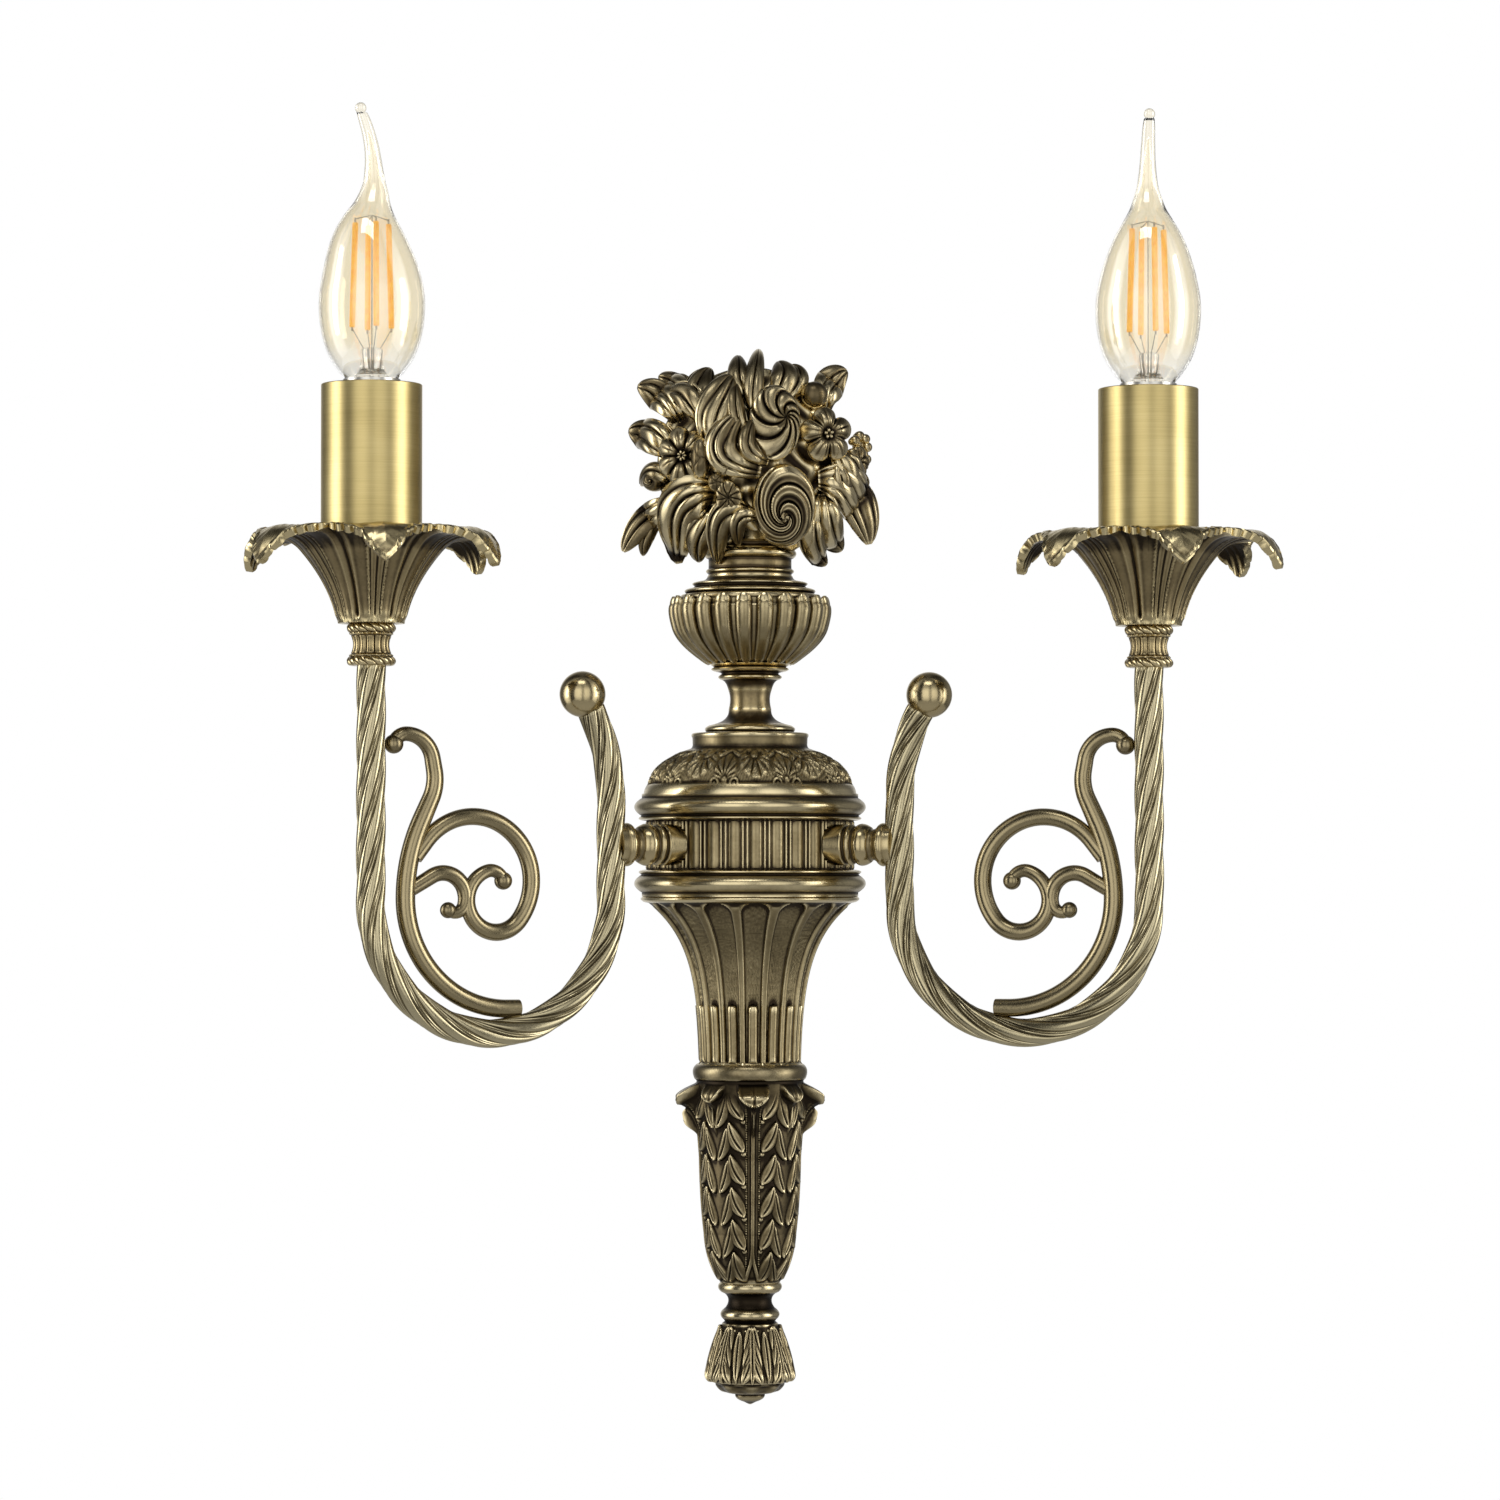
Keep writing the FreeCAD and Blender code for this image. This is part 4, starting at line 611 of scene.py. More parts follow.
def make_leaf_sheath():
    outer = profile(
        (ROD_WAY, TRUMPET_BOTTOM), (18.0, TRUMPET_BOTTOM), ((19.5, -76.6), (19.0, -79.6)), (18.3, -80.2),
        ((17.9, -92.0), (16.9, -106.0)), ((16.4, -120.0), (15.3, -132.0)), ((13.9, -140.5), (10.5, -148.4)),
        (10.2, SHEATH_BOTTOM), (ROD_WAY, SHEATH_BOTTOM), spacing=0.33,
    )
    inner = profile((ROD_WAY, -139.0), (7.8, -139.0), (11.5, -130.0), (13.4, -105.0), (14.6, -78.0),
                    (ROD_WAY, -78.0), spacing=4)

    def laurels(angle, height):
        radius = np.interp(-height, [80, 92, 106, 120, 132, 140.5, 148.4],
                           [18.3, 17.9, 16.9, 16.4, 15.3, 13.9, 10.5])
        side = np.radians(off_middle(angle, 90.0)) * radius
        x = np.abs(side)
        rise = np.full_like(height, -0.8)
        spread = 2.2 * smooth_step(-height, 137, 149) ** 1.3
        stem = crown(x - spread, 0.8) * 1.2 * smooth_step(-height, 89, 91)
        rise = np.maximum(rise, stem - 0.6)
        for step in range(6):
            low = -93.0 - 11.0 * step
            squeeze = 1 - 0.055 * step
            root_leaf = leaf_rise(x, height, (3.3 * squeeze, low), (8.9 * squeeze, low + 10.4), 5.4, 0.9)
            edge_leaf = leaf_rise(x, height, (13.0 * squeeze, low - 3.0), (9.8 * squeeze, low + 8.4), 4.6, -0.7)
            curl = crown(np.hypot(x - 3.4 * squeeze, height - low + 0.6), 1.0) * 0.9
            rise = np.maximum.reduce([rise, root_leaf * 1.5 - 0.7, edge_leaf * 1.5 - 0.75, curl - 0.55])
        pearls = humps(height * 1.25 + 1000) * crown(x - 2.2, 0.42) * 0.6
        rise = np.maximum(rise, pearls - 0.75)
        band = smooth_step(-height, 84.0, 90.0) * (1 - smooth_step(-height, 147.2, 148.4))
        return rise * band + tips(angle, height)

    def tips(angle, height):
        """Leaf tips that stand out round the top like a capital: four large, four small between."""
        out = np.zeros_like(height)
        for pitch_start, reach, low, wide in ((0.0, 7.2, 88.3, 5.8), (45.0, 3.4, 87.2, 4.4)):
            across = np.radians(off_middle(angle + pitch_start, 90.0)) * (18.4 + reach * 0.5)
            fall_share = ((-height - 80.5) / (low - 80.5)).clip(0, 1)
            edge = wide * np.sqrt(np.clip(1 - fall_share ** 2.2, 0.0, 1))
            face = smooth_step(edge - np.abs(across), -0.9, 0.5)
            lowest = np.interp(np.abs(across), [0, wide * 0.6, wide], [low, low - 2.2, 82.0])
            below = np.clip(-height - lowest, 0, None)
            fall = np.exp(-below / 3.6) * smooth_step(wide * 1.05 - np.abs(across), 0.0, 3.5)
            slope = smooth_step(-height, 80.9, 85.6) ** 0.6
            rim = 0.5 * ridge(edge - np.abs(across) - 0.9, 0.5) - 0.5 * ridge(across, 0.5)
            one = slope * reach * np.maximum(face * 0.98, fall * 0.9) + rim * face * slope
            out = np.maximum(out, one * (1 - smooth_step(-height, 94.0, 99.0)))
        return out

    casting("sheath_casting", outer, inner, laurels, 640, LEAF, "leaf_brass", "leaf_sheath")


def make_finial():
    outer = profile(
        (0.0, SHEATH_BOTTOM), (10.2, SHEATH_BOTTOM), ((10.9, -150.6), (9.9, -152.2)), (8.6, -152.8),
        ((7.4, -155.0), (8.4, -157.6)), (8.9, -158.0), ((10.1, -159.8), (9.0, -161.6)), (8.6, -162.2),
        (9.6, -163.0), ((12.6, -171.0), (14.6, -179.0)), ((14.8, -181.4), (13.4, -182.6)), (12.2, -182.4),
        ((9.8, -185.6), (6.4, -186.6)), (5.0, -186.8), ((4.6, -188.4), (2.2, -189.6)), (0.4, FINIAL_BOTTOM),
        (0.0, FINIAL_BOTTOM), spacing=0.3,
    )

    def leaves(angle, height):
        radius = np.interp(-height, [163, 171, 179, 181.4], [9.6, 12.6, 14.6, 14.8])
        pitch = 45.0
        side = np.radians(off_middle(angle, pitch)) * radius
        x = np.abs(side)
        rise = np.maximum(-0.7, leaf_rise(side, height, (0, -163.4), (0, -183.6), 3.4, 0, 0.45) * 1.4 - 0.5)
        for step in range(3):
            low = -167.0 - 5.6 * step
            grow = 1 + 0.22 * step
            lobe = leaf_rise(x, height, (0.7, low + 3.4), (2.6 + 0.55 * step, low - 4.4), 3.0 * grow, 0.4, 0.4)
            rise = np.maximum(rise, lobe * 1.25 - 0.45)
            rise = np.maximum(rise, crown(np.hypot(x - 1.9 * grow, height - low - 2.2), 0.55) * 0.5 - 0.3)
        other = np.abs(np.radians(angle % pitch - pitch / 2) * radius)
        rise = np.maximum(rise, leaf_rise(other, height, (0, -165.0), (0, -182.6), 3.6, 0, 0.5) - 0.35)
        band = smooth_step(-height, 162.8, 164.0) * (1 - smooth_step(-height, 182.2, 182.7))
        knob = 0.35 * np.cos(np.radians(angle * 8)) * smooth_step(-height, 183, 184) * (
            1 - smooth_step(-height, 185.6, 186.6))
        return rise * band + knob

    casting("finial_casting", outer, outer[:0], leaves, 460, LEAF, "leaf_brass", "finial")


# ---------------------------------------------------------------- bouquet

CORE_Z, CORE_X, CORE_OUT, CORE_UP = 130.0, 35.0, 25.0, 37.0  # the mound that flowers and leaves lie on

# each leaf: x and z of its root, half-way point and tip, its width, its ribs, how far root and tip stand proud
BOUQUET_LEAVES = (
    ((-1.1, 151.7), (-4.5, 158.9), (-4.1, 167.2), 7.6, 3, -1, -1),
    ((-9.3, 143.9), (-17.4, 153.0), (-13.9, 162.5), 11.8, 4, -1, 0),
    ((7.3, 150.4), (11.2, 158.3), (9.4, 165.1), 10.5, 4, -1, -1),
    ((11.6, 151.7), (15.6, 158.9), (13.3, 163.8), 7.8, 3, -2, -2),
    ((0.8, 143.9), (0.4, 157.0), (3.1, 170.0), 6.8, 3, 1, 1),
    ((-17.8, 149.1), (-24.3, 157.0), (-31.2, 160.9), 8.1, 4, -2, -1),
    ((-24.3, 143.9), (-30.2, 153.0), (-38.5, 157.2), 11.0, 5, -1, 1),
    ((-16.5, 142.6), (-21.7, 152.0), (-28.0, 154.1), 9.9, 4, 1, 2),
    ((-27.0, 132.1), (-33.5, 139.0), (-41.6, 141.9), 12.0, 5, 0, 2),
    ((-27.0, 123.0), (-32.9, 127.0), (-37.2, 123.3), 6.8, 3, 0, 1),
    ((-26.3, 115.8), (-35.0, 111.5), (-43.4, 100.5), 9.7, 4, 0, 1),
    ((-29.6, 113.8), (-34.5, 107.3), (-36.6, 99.1), 5.8, 3, 0, 1),
    ((-12.6, 119.0), (-24.3, 115.0), (-24.1, 96.5), 15.7, 6, 2, 1),
    ((-12.6, 113.8), (-17.8, 105.9), (-17.8, 96.8), 9.2, 4, 1, 1),
    ((24.7, 147.8), (26.8, 157.5), (33.5, 162.7), 11.5, 5, -1, 2),
    ((22.4, 124.3), (34.8, 119.6), (41.0, 103.3), 16.0, 7, 1, 1),
    ((24.7, 119.0), (26.1, 108.6), (31.9, 101.4), 10.5, 4, 2, 1),
    ((20.8, 113.8), (20.0, 104.3), (26.4, 96.3), 9.9, 4, 1, 1),
    ((29.3, 134.7), (33.9, 127.0), (41.0, 124.5), 11.0, 5, 1, 2),
    ((29.3, 130.8), (30.3, 123.6), (35.2, 120.1), 7.3, 3, 1, 1),
    ((-14.1, 134.7), (-13.2, 148.4), (-6.6, 159.3), 12.0, 5, 2, 3),
    ((-2.1, 137.3), (-6.3, 147.8), (-5.8, 157.0), 6.5, 3, 2, 2),
    ((2.1, 126.5), (-10.6, 133.7), (-3.7, 146.2), 12.6, 6, 4, 4),
    ((4.4, 129.5), (-2.4, 134.7), (-0.1, 143.9), 6.5, 3, 5, 4),
    ((-2.1, 112.8), (-10.6, 110.8), (-11.5, 95.8), 9.4, 4, 4, 3),
    ((0.9, 110.9), (-5.0, 109.9), (-4.7, 101.5), 6.5, 3, 5, 4),
)


def on_mound(x, z, proud):
    """Point that stands proud of the bouquet's mound, and the way the mound faces there."""
    x, z = np.asarray(x, float), np.asarray(z, float)
    bulge = np.sqrt(np.clip(1 - 0.88 * ((x / CORE_X) ** 2 + ((z - CORE_Z) / CORE_UP) ** 2), 0.0, 1))
    points = np.stack([x, -(3.5 + CORE_OUT * bulge * 0.9 + proud), z], -1)
    facing = np.stack([x / CORE_X ** 2, -bulge / CORE_OUT, (z - CORE_Z) / CORE_UP ** 2], -1)
    facing = 0.5 * unit(facing) + [0.0, -0.75, 0.0]
    return points, unit(facing)


def ribbed_leaf(root, middle, tip, width, ribs, root_proud, tip_proud, rows=30, cols=45):
    """Closed leaf on the mound: cupped, ribbed along its length and drawn to a blunt point."""
    root, middle, tip = (np.array(v, float) for v in (root, middle, tip))
    t = np.linspace(0, 1, rows)
    flat = bow(root, middle, tip, t[:, None])
    proud = root_proud + (tip_proud - root_proud) * t + 2.0 * np.sin(np.pi * t)
    proud -= 3.0 * (1 - smooth_step(t, 0.0, 0.22))
    line, facing = on_mound(flat[:, 0], flat[:, 1], proud)
    along = unit(np.gradient(line, axis=0))
    across = unit(np.cross(along, facing))
    front = np.cross(across, along)
    broad = np.where(t < 0.45, 0.42 + 0.58 * np.sin(np.pi / 2 * t / 0.45),
                     np.sqrt(np.clip(1 - ((t - 0.45) / 0.56) ** 2, 0.0, 1)) ** 1.15)
    half = width / 2 * np.maximum(broad, 0.05)[:, None]
    u = np.linspace(-1, 1, cols)[None]
    ribs = max(0.6 * ribs, 2)
    wave = u + 0.12 * np.sin(2.0 * np.pi * t)[:, None] + 0.10 * np.sin(4.5 * u + root[0])
    rib = humps((wave + 1.1) / 2.2 * ribs)
    taper = np.clip(broad, 0.12, 1)[:, None]
    rise = (1.7 * (1 - np.abs(u) ** 2.4) + 0.36 * width / ribs * rib) * taper
    top = line[:, None] + across[:, None] * (half * u)[..., None] + front[:, None] * rise[..., None]
    thick = 2.6 * taper * (1 - np.abs(u) ** 3) + 0.25 + 0.6 * rise * (np.abs(u) < 0.98)
    under = top - front[:, None] * thick[..., None]
    return ring_stack(clear_of_wall(np.concatenate([top, under[:, ::-1]], 1)))


def bouquet_mound(rows=56, cols=220):
    """Closed lumpy ground behind the leaves and flowers."""
    share = np.linspace(0, 1, rows)[:, None]
    angle = circle_angles(cols)[None]
    x = 32.0 * share * np.cos(angle)
    z = 130.0 + 33.0 * share * np.sin(angle)
    lumps = 0.7 * np.sin(x * 0.55 + 1.3 * np.sin(z * 0.34)) * np.sin(z * 0.62 + 1.1 * np.sin(x * 0.41))
    front, _ = on_mound(x, z, -2.2 + lumps)
    back = front[-1] * [0.98, 0.0, 1.0] + [0.0, -0.5, 0.0]
    return ring_stack(np.concatenate([front, back[None]]), first_cap=False)


def clear_of_wall(points):
    """Nothing reaches into the wall; what is pushed back keeps a little of its shape."""
    points, out = points.copy(), points[..., 1]
    points[..., 1] = np.where(out > -0.6, -0.6 * np.exp(-(out + 0.6) / 0.6), out)
    return points


def mound_disc(place, proud, reach, height, outline=None, sink=5.0, spin=0.0, rows=30, cols=144,
               shift=(0, 0)):
    """Closed blossom on the mound: height(share, angle) over an oval outline; shift moves its heart."""
    centre, facing = on_mound(place[0], place[1], proud)
    right = unit(np.cross(UP, facing))
    over = np.cross(facing, right)
    angle = circle_angles(cols)
    way = np.stack([np.cos(angle + spin), np.sin(angle + spin)], -1)
    start = np.array(shift, float) / reach
    ray = way / np.array(reach)
    a, b, c = (ray ** 2).sum(1), (ray * start).sum(1), (start ** 2).sum() - 1
    edge = (-b + np.sqrt(b * b - a * c)) / a
    if outline is not None:
        edge = edge * outline(angle)
    share = np.linspace(0, 1, rows)[:, None]
    flat = share[..., None] * (edge[:, None] * way)[None] + np.array(shift, float)
    rise = height(share, angle[None])
    front = centre + right * flat[..., :1] + over * flat[..., 1:] + facing * rise[..., None]
    rim = front[-1] - facing * 1.0
    back = centre + (right * flat[-1, :, :1] + over * flat[-1, :, 1:]) * 0.7 - facing * sink
    return ring_stack(clear_of_wall(np.concatenate([front, rim[None], back[None]])), first_cap=False)


def domed(share, fullness=0.96):
    """Round rise over a blossom, from 1 at its heart."""
    return np.sqrt(1 - share ** 2 * fullness)


def spiral_petals(arms, turns, depth):
    """Overlapping petals that wind out of a heart."""

    def height(share, angle):
        phase = (angle / (2 * np.pi) * arms + turns * share ** 0.8) % 1.0
        petal = phase ** 0.32 * (1 - smooth_step(phase, 0.84, 1.0))
        fold = 0.10 * np.cos(4 * np.pi * phase)
        heart = 1.2 * crown(share, 0.13)
        carved = (petal + fold - 0.6) * depth * np.minimum(share * 6, 1) * (1 - share ** 8)
        return 5.2 * domed(share) + carved + heart

    return height


def curved_grooves(count, twist, depth, dome=4.2):
    """Rounded ribs that curve from the eye to the rim."""

    def height(share, angle):
        rib = humps(angle / (2 * np.pi) * count + twist * share, 0.75)
        return dome * domed(share) + rib * depth * np.clip(share * 3, 0, 1)

    return height


def open_petals(count, eye, folds=3):
    """Open flower: petals that rise from a hollow round an eye, each with a few folds."""

    def height(share, angle):
        petal = np.abs(np.cos(angle * count / 2))
        fold = humps(angle / (2 * np.pi) * count * folds)
        bowl = 2.6 * np.sin(np.pi * share ** 0.85) * (0.55 + 0.45 * petal ** 0.7) + 1.0 * (1 - share)
        return bowl + fold * 0.55 * smooth_step(share, 0.25, 0.5) * (1 - share ** 6) + eye * crown(share, 0.2)

    return height


def plain_bud(rise):
    return lambda share, angle: rise * domed(share, 0.98) + 0 * angle


def lobes(count, depth=0.35):
    return lambda angle: 1 - depth * (1 - np.abs(np.cos(angle * count / 2)) ** 0.55)


def make_bouquet():
    outer = profile(
        (0.0, 112.0), (13.0, 111.0), (14.4, 104.0), ((13.4, 102.6), (14.6, 101.6)), ((15.9, 99.9), (15.0, 98.3)),
        (14.2, 97.9), (14.2, 94.6), (14.8, 94.2), ((15.1, 93.7), (14.8, 93.2)), (14.2, 92.9), (14.4, URN_TOP),
        (0.0, URN_TOP), spacing=0.4,
    )
    casting("bouquet_neck", outer, outer[:0], None, 240, TURNED, "flower_brass", "bouquet")
    blossoms = [
        mound_disc((10.3, 115.1), 1.5, (10.9, 14.0), spiral_petals(3, 3.2, 2.3), shift=(-0.3, -4.4),
                   sink=9, rows=60),
        mound_disc((7.0, 142.6), 1.5, (8.8, 12.9), curved_grooves(9, 1.9, 2.0), shift=(3.6, 1.6),
                   sink=8, rows=44),
        mound_disc((25.1, 139.3), 2.5, (9.4, 9.8), open_petals(5, 1.6), lobes(5), sink=7, spin=0.4),
        mound_disc((-23.6, 131.6), 2.5, (9.0, 10.4), open_petals(7, 2.2, 2), lobes(7, 0.22), sink=7, spin=0.9),
        mound_disc((-17.8, 130.6), 3.4, (3.4, 7.2), curved_grooves(3, 0.2, 0.5, 4.6), sink=6, spin=0.2),
        mound_disc((-9.3, 128.2), 4.6, (4.2, 3.9), curved_grooves(7, 0.4, 0.8, 2.6), lobes(3, 0.3), sink=7),
        mound_disc((-12.6, 122.6), 4.2, (2.8, 3.4), curved_grooves(5, 0.3, 0.6, 2.4), sink=7),
        mound_disc((-8.6, 117.4), 4.2, (4.7, 6.4), curved_grooves(9, 0.3, 0.9, 3.0), lobes(3, 0.2), sink=7),
        mound_disc((-32.7, 124.0), 0.0, (4.4, 3.6), spiral_petals(2, 1.2, 1.0), sink=3),
        mound_disc((36.0, 131.0), 0.5, (4.8, 6.0), curved_grooves(7, 0.3, 0.9, 2.4), lobes(5, 0.2), sink=3),
        mound_disc((21.2, 153.3), 1.2, (4.7, 4.6), plain_bud(4.6), sink=5),
    ]
    berries = ((37.6, 137.1), (39.6, 139.4), (36.4, 134.9), (38.9, 134.2), (40.3, 136.6), (37.7, 140.4),
               (35.7, 138.4), (40.0, 132.4))
    blossoms += [mound_disc(place, 2.6, (1.75, 1.75), plain_bud(1.7), sink=2.5, rows=12, cols=28)
                 for place in berries]
    leaves = [ribbed_leaf(*leaf) for leaf in BOUQUET_LEAVES]
    for name, shape in (("bouquet_mound", bouquet_mound()), ("bouquet_leaves", joined(leaves)),
                        ("bouquet_flowers", joined(blossoms))):
        set_on(make_piece(name, *shape, FLOWER, 60), "root", "flower_brass")


# ---------------------------------------------------------------- arms


def arm_line():
    """Centre line of an arm in its own plane, from the ball to the candle, evenly spaced."""
    curl_end = math.asin(CURL_RISE / CURL_R) - math.sqrt(BALL_R ** 2 - ARM_R ** 2) / CURL_R
    middle = ARM_IN_U + BEND_R
    places = []
    for angle in np.linspace(curl_end, 0, 24):
        places.append((ARM_IN_U + CURL_R * (1 - math.cos(angle)), CURL_Z + CURL_R * math.sin(angle)))
    for height in np.linspace(CURL_Z, BEND_Z, 18)[1:]:
        places.append((ARM_IN_U, height))
    for angle in np.linspace(0, math.pi, 70)[1:]:
        places.append((middle - BEND_R * math.cos(angle), BEND_Z - BEND_R * math.sin(angle)))
    for height in np.linspace(BEND_Z, ARM_TOP_Z, 40)[1:]:
        places.append((CANDLE_U, height))
    return places


def scroll_line(start, heading, bends, step=0.7):
    """Points along tangent arcs: a bend is radius and turn in degrees, or a length and 0."""
    u, z = start
    angle = math.radians(heading)
    places = [(u, z)]
    for size, turn in bends:
        sweep = math.radians(abs(turn))
        length = size if turn == 0 else size * sweep
        count = max(int(length / step), 2)
        hand = 0 if turn == 0 else math.copysign(1, turn)
        for _ in range(count):
            half = 0 if turn == 0 else hand * sweep / count / 2
            angle += half
            chord = length / count if turn == 0 else 2 * size * math.sin(sweep / count / 2)
            u += chord * math.cos(angle)
            z += chord * math.sin(angle)
            angle += half
            places.append((u, z))
    return places


# height of a strand over its width: one broad crown and two thin wires in the groove beside it
STRAND_FORM = (
    (0.0, 0.0), (0.05, 0.50), (0.14, 0.86), (0.30, 1.0), (0.46, 0.86), (0.56, 0.50), (0.62, 0.04), (0.66, 0.12),
    (0.715, 0.52), (0.765, 0.16), (0.80, 0.16), (0.86, 0.56), (0.92, 0.14), (0.96, 0.02), (1.0, 0.0),
)


def rod_tree():
    """Node tree: a rod along a curve, with strands that wind round it."""
    tree = bpy.data.node_groups.new("twisted rod", "GeometryNodeTree")
    for name, kind in (("Geometry", "Geometry"), ("Radius", "Float"), ("Groove", "Float"), ("Strands", "Int"),
                       ("Turns", "Float"), ("Step", "Float"), ("Around", "Int"), ("Finish", "Material")):
        tree.interface.new_socket(name, in_out="INPUT", socket_type="NodeSocket" + kind)
    tree.interface.new_socket("Geometry", in_out="OUTPUT", socket_type="NodeSocketGeometry")
    start, end = tree.nodes.new("NodeGroupInput").outputs, tree.nodes.new("NodeGroupOutput")
    even = add(tree, "GeometryNodeResampleCurve", mode="LENGTH", Curve=start["Geometry"], Length=start["Step"])
    share = add(tree, "GeometryNodeSplineParameter").outputs["Factor"]
    tilt = math_node(tree, "MULTIPLY", math_node(tree, "MULTIPLY", share, start["Turns"]), 2 * math.pi)
    wind = add(tree, "GeometryNodeSetCurveTilt", Curve=even.outputs[0], Tilt=tilt)
    circle = add(tree, "GeometryNodeCurvePrimitiveCircle", Resolution=start["Around"], Radius=1.0)
    around = add(tree, "GeometryNodeSplineParameter").outputs["Factor"]
    across = math_node(tree, "FRACT", math_node(tree, "MULTIPLY", around, start["Strands"]))
    strand = add(tree, "ShaderNodeFloatCurve", Value=across)
    form = strand.mapping.curves[0]
    for place in STRAND_FORM[1:-1]:
        form.points.new(*place)
    form.points[0].location, form.points[-1].location = STRAND_FORM[0], STRAND_FORM[-1]
    strand.mapping.update()
    spread = math_node(tree, "SUBTRACT", start["Radius"], start["Groove"])
    reach = math_node(tree, "MULTIPLY_ADD", strand.outputs[0], spread, start["Groove"])
    grown = add(tree, "ShaderNodeVectorMath", operation="SCALE", Scale=reach,
                Vector=add(tree, "GeometryNodeInputPosition").outputs[0])
    ring = add(tree, "GeometryNodeSetPosition", Geometry=circle.outputs["Curve"], Position=grown.outputs[0])
    rod = add(tree, "GeometryNodeCurveToMesh", Fill_Caps=True, Curve=wind.outputs[0], Profile_Curve=ring.outputs[0])
    real = add(tree, "GeometryNodeRealizeInstances", Geometry=rod.outputs["Mesh"])
    paint = add(tree, "GeometryNodeSetMaterial", Geometry=real.outputs[0], Material=start["Finish"])
    link(tree, paint.outputs[0], end.inputs["Geometry"])
    return tree


def run_tree(obj, tree, values, name, move):
    """Evaluate a node tree on an object, move the result and keep it as one plain mesh."""
    modifier = obj.modifiers.new("form", "NODES")
    modifier.node_group = tree
    for item in tree.interface.items_tree:
        if item.in_out == "INPUT" and item.name in values:
            modifier[item.identifier] = values[item.name]
    bpy.context.view_layer.update()
    evaluated = obj.evaluated_get(bpy.context.evaluated_depsgraph_get())
    mesh = bpy.data.meshes.new_from_object(evaluated)
    bpy.data.objects.remove(obj)
    places = read_vectors(mesh.vertices, "co", len(mesh.vertices)) / MM
    mesh.vertices.foreach_set("co", move(places).ravel() * MM)
    weld(mesh, drop_slivers=False)
    finish_mesh(mesh)
    return new_object(name, mesh)


def curve_of(name, places):
    """Poly curve in the plane of an arm, in metres."""
    data = bpy.data.curves.new(name, "CURVE")
    data.dimensions = "3D"
    spline = data.splines.new("POLY")
    spline.points.add(len(places) - 1)
    for point, (u, z) in zip(spline.points, places):
        point.co = (u * MM, 0, z * MM, 1)
    return new_object(name, data)


ROD_TREE = rod_tree()


def make_arm(side, turn):
    places = arm_line()
    length = sum(math.dist(a, b) for a, b in zip(places, places[1:]))
    values = {"Radius": ARM_R * MM, "Groove": GROOVE_R * MM, "Strands": STRANDS,
              "Turns": length / TWIST_PITCH, "Step": 1.3 * MM, "Around": 150, "Finish": SHADED_ARM_BRASS}
    obj = run_tree(curve_of("arm line", places), ROD_TREE, values, "twisted_arm_" + side,
                   lambda points: on_side(points, turn))
    set_on(obj, "root", "arm_brass", "arm_" + side)


def ball(centre, radius, cols=40, rows=24):
    """Closed round knob in the plane of an arm."""
    polar = np.linspace(0, np.pi, rows)[:, None]
    phi = circle_angles(cols)
    x, y = np.sin(polar) * np.cos(phi), np.sin(polar) * np.sin(phi)
    points = radius * np.stack([x, y, np.cos(polar) * np.ones(cols)], -1)
    return ring_stack(points + [centre[0], 0, centre[1]], False, False)


def tapered_rod(places, radius_at, cols=24):
    """Round rod along a line in the arm's plane whose radius changes, with closed ends."""
    line = np.array([(u, 0.0, z) for u, z in places])
    side = np.array([0.0, 1.0, 0.0])
    out = np.cross(unit(np.gradient(line, axis=0)), side)
    radius = np.array([radius_at(v) for v in np.linspace(0, 1, len(line))])[:, None, None]
    phi = circle_angles(cols)[None, :, None]
    ring = np.cos(phi) * side[None, None] + np.sin(phi) * out[:, None]
    return ring_stack(line[:, None] + ring * radius)


def make_coupling(side, turn):
    """Turned coupling from the drum's seat to the arm, lying along the arm's plane."""
    end = ARM_IN_U - 2.0
    section = profile(
        (SEAT_U, 0.0), (SEAT_U, 5.4), (SEAT_U, 6.5), (SEAT_U + 0.5, 6.95), (SEAT_U + 5.8, 6.95),
        ((SEAT_U + 6.5, 6.8), (SEAT_U + 6.6, 6.0)), (SEAT_U + 7.2, 6.0), ((SEAT_U + 8.4, 7.0), (SEAT_U + 9.6, 6.0)),
        (SEAT_U + 10.1, 6.0), ((SEAT_U + 12.4, 7.1), (SEAT_U + 15.2, 6.0)), (SEAT_U + 15.5, 5.5),
        ((SEAT_U + 16.8, 5.3), (SEAT_U + 18.3, 6.4)), ((SEAT_U + 19.6, 7.3), (SEAT_U + 21.2, 6.7)),
        (end, 6.5), (end, 0.0), spacing=0.25,
    )
    phi = circle_angles(96)
    along, reach = section[:, :1], section[:, 1:]
    points, faces = ring_stack(np.stack([along + 0 * phi, reach * np.cos(phi), reach * np.sin(phi)], -1),
                               False, False)
    obj = make_piece("turned_coupling_" + side, on_side(points, turn), faces, SMOOTH)
    set_on(obj, "root", "turned_brass", "coupling_" + side)


def make_arm_ball(side, turn):
    end = (ARM_IN_U + CURL_R * (1 - math.sqrt(1 - (CURL_RISE / CURL_R) ** 2)), CURL_Z + CURL_RISE)
    points, faces = ball(end, BALL_R, 72, 48)
    obj = make_piece("end_ball_" + side, on_side(points, turn), faces, SMOOTH)
    set_on(obj, "root", "turned_brass", "arm_ball_" + side)


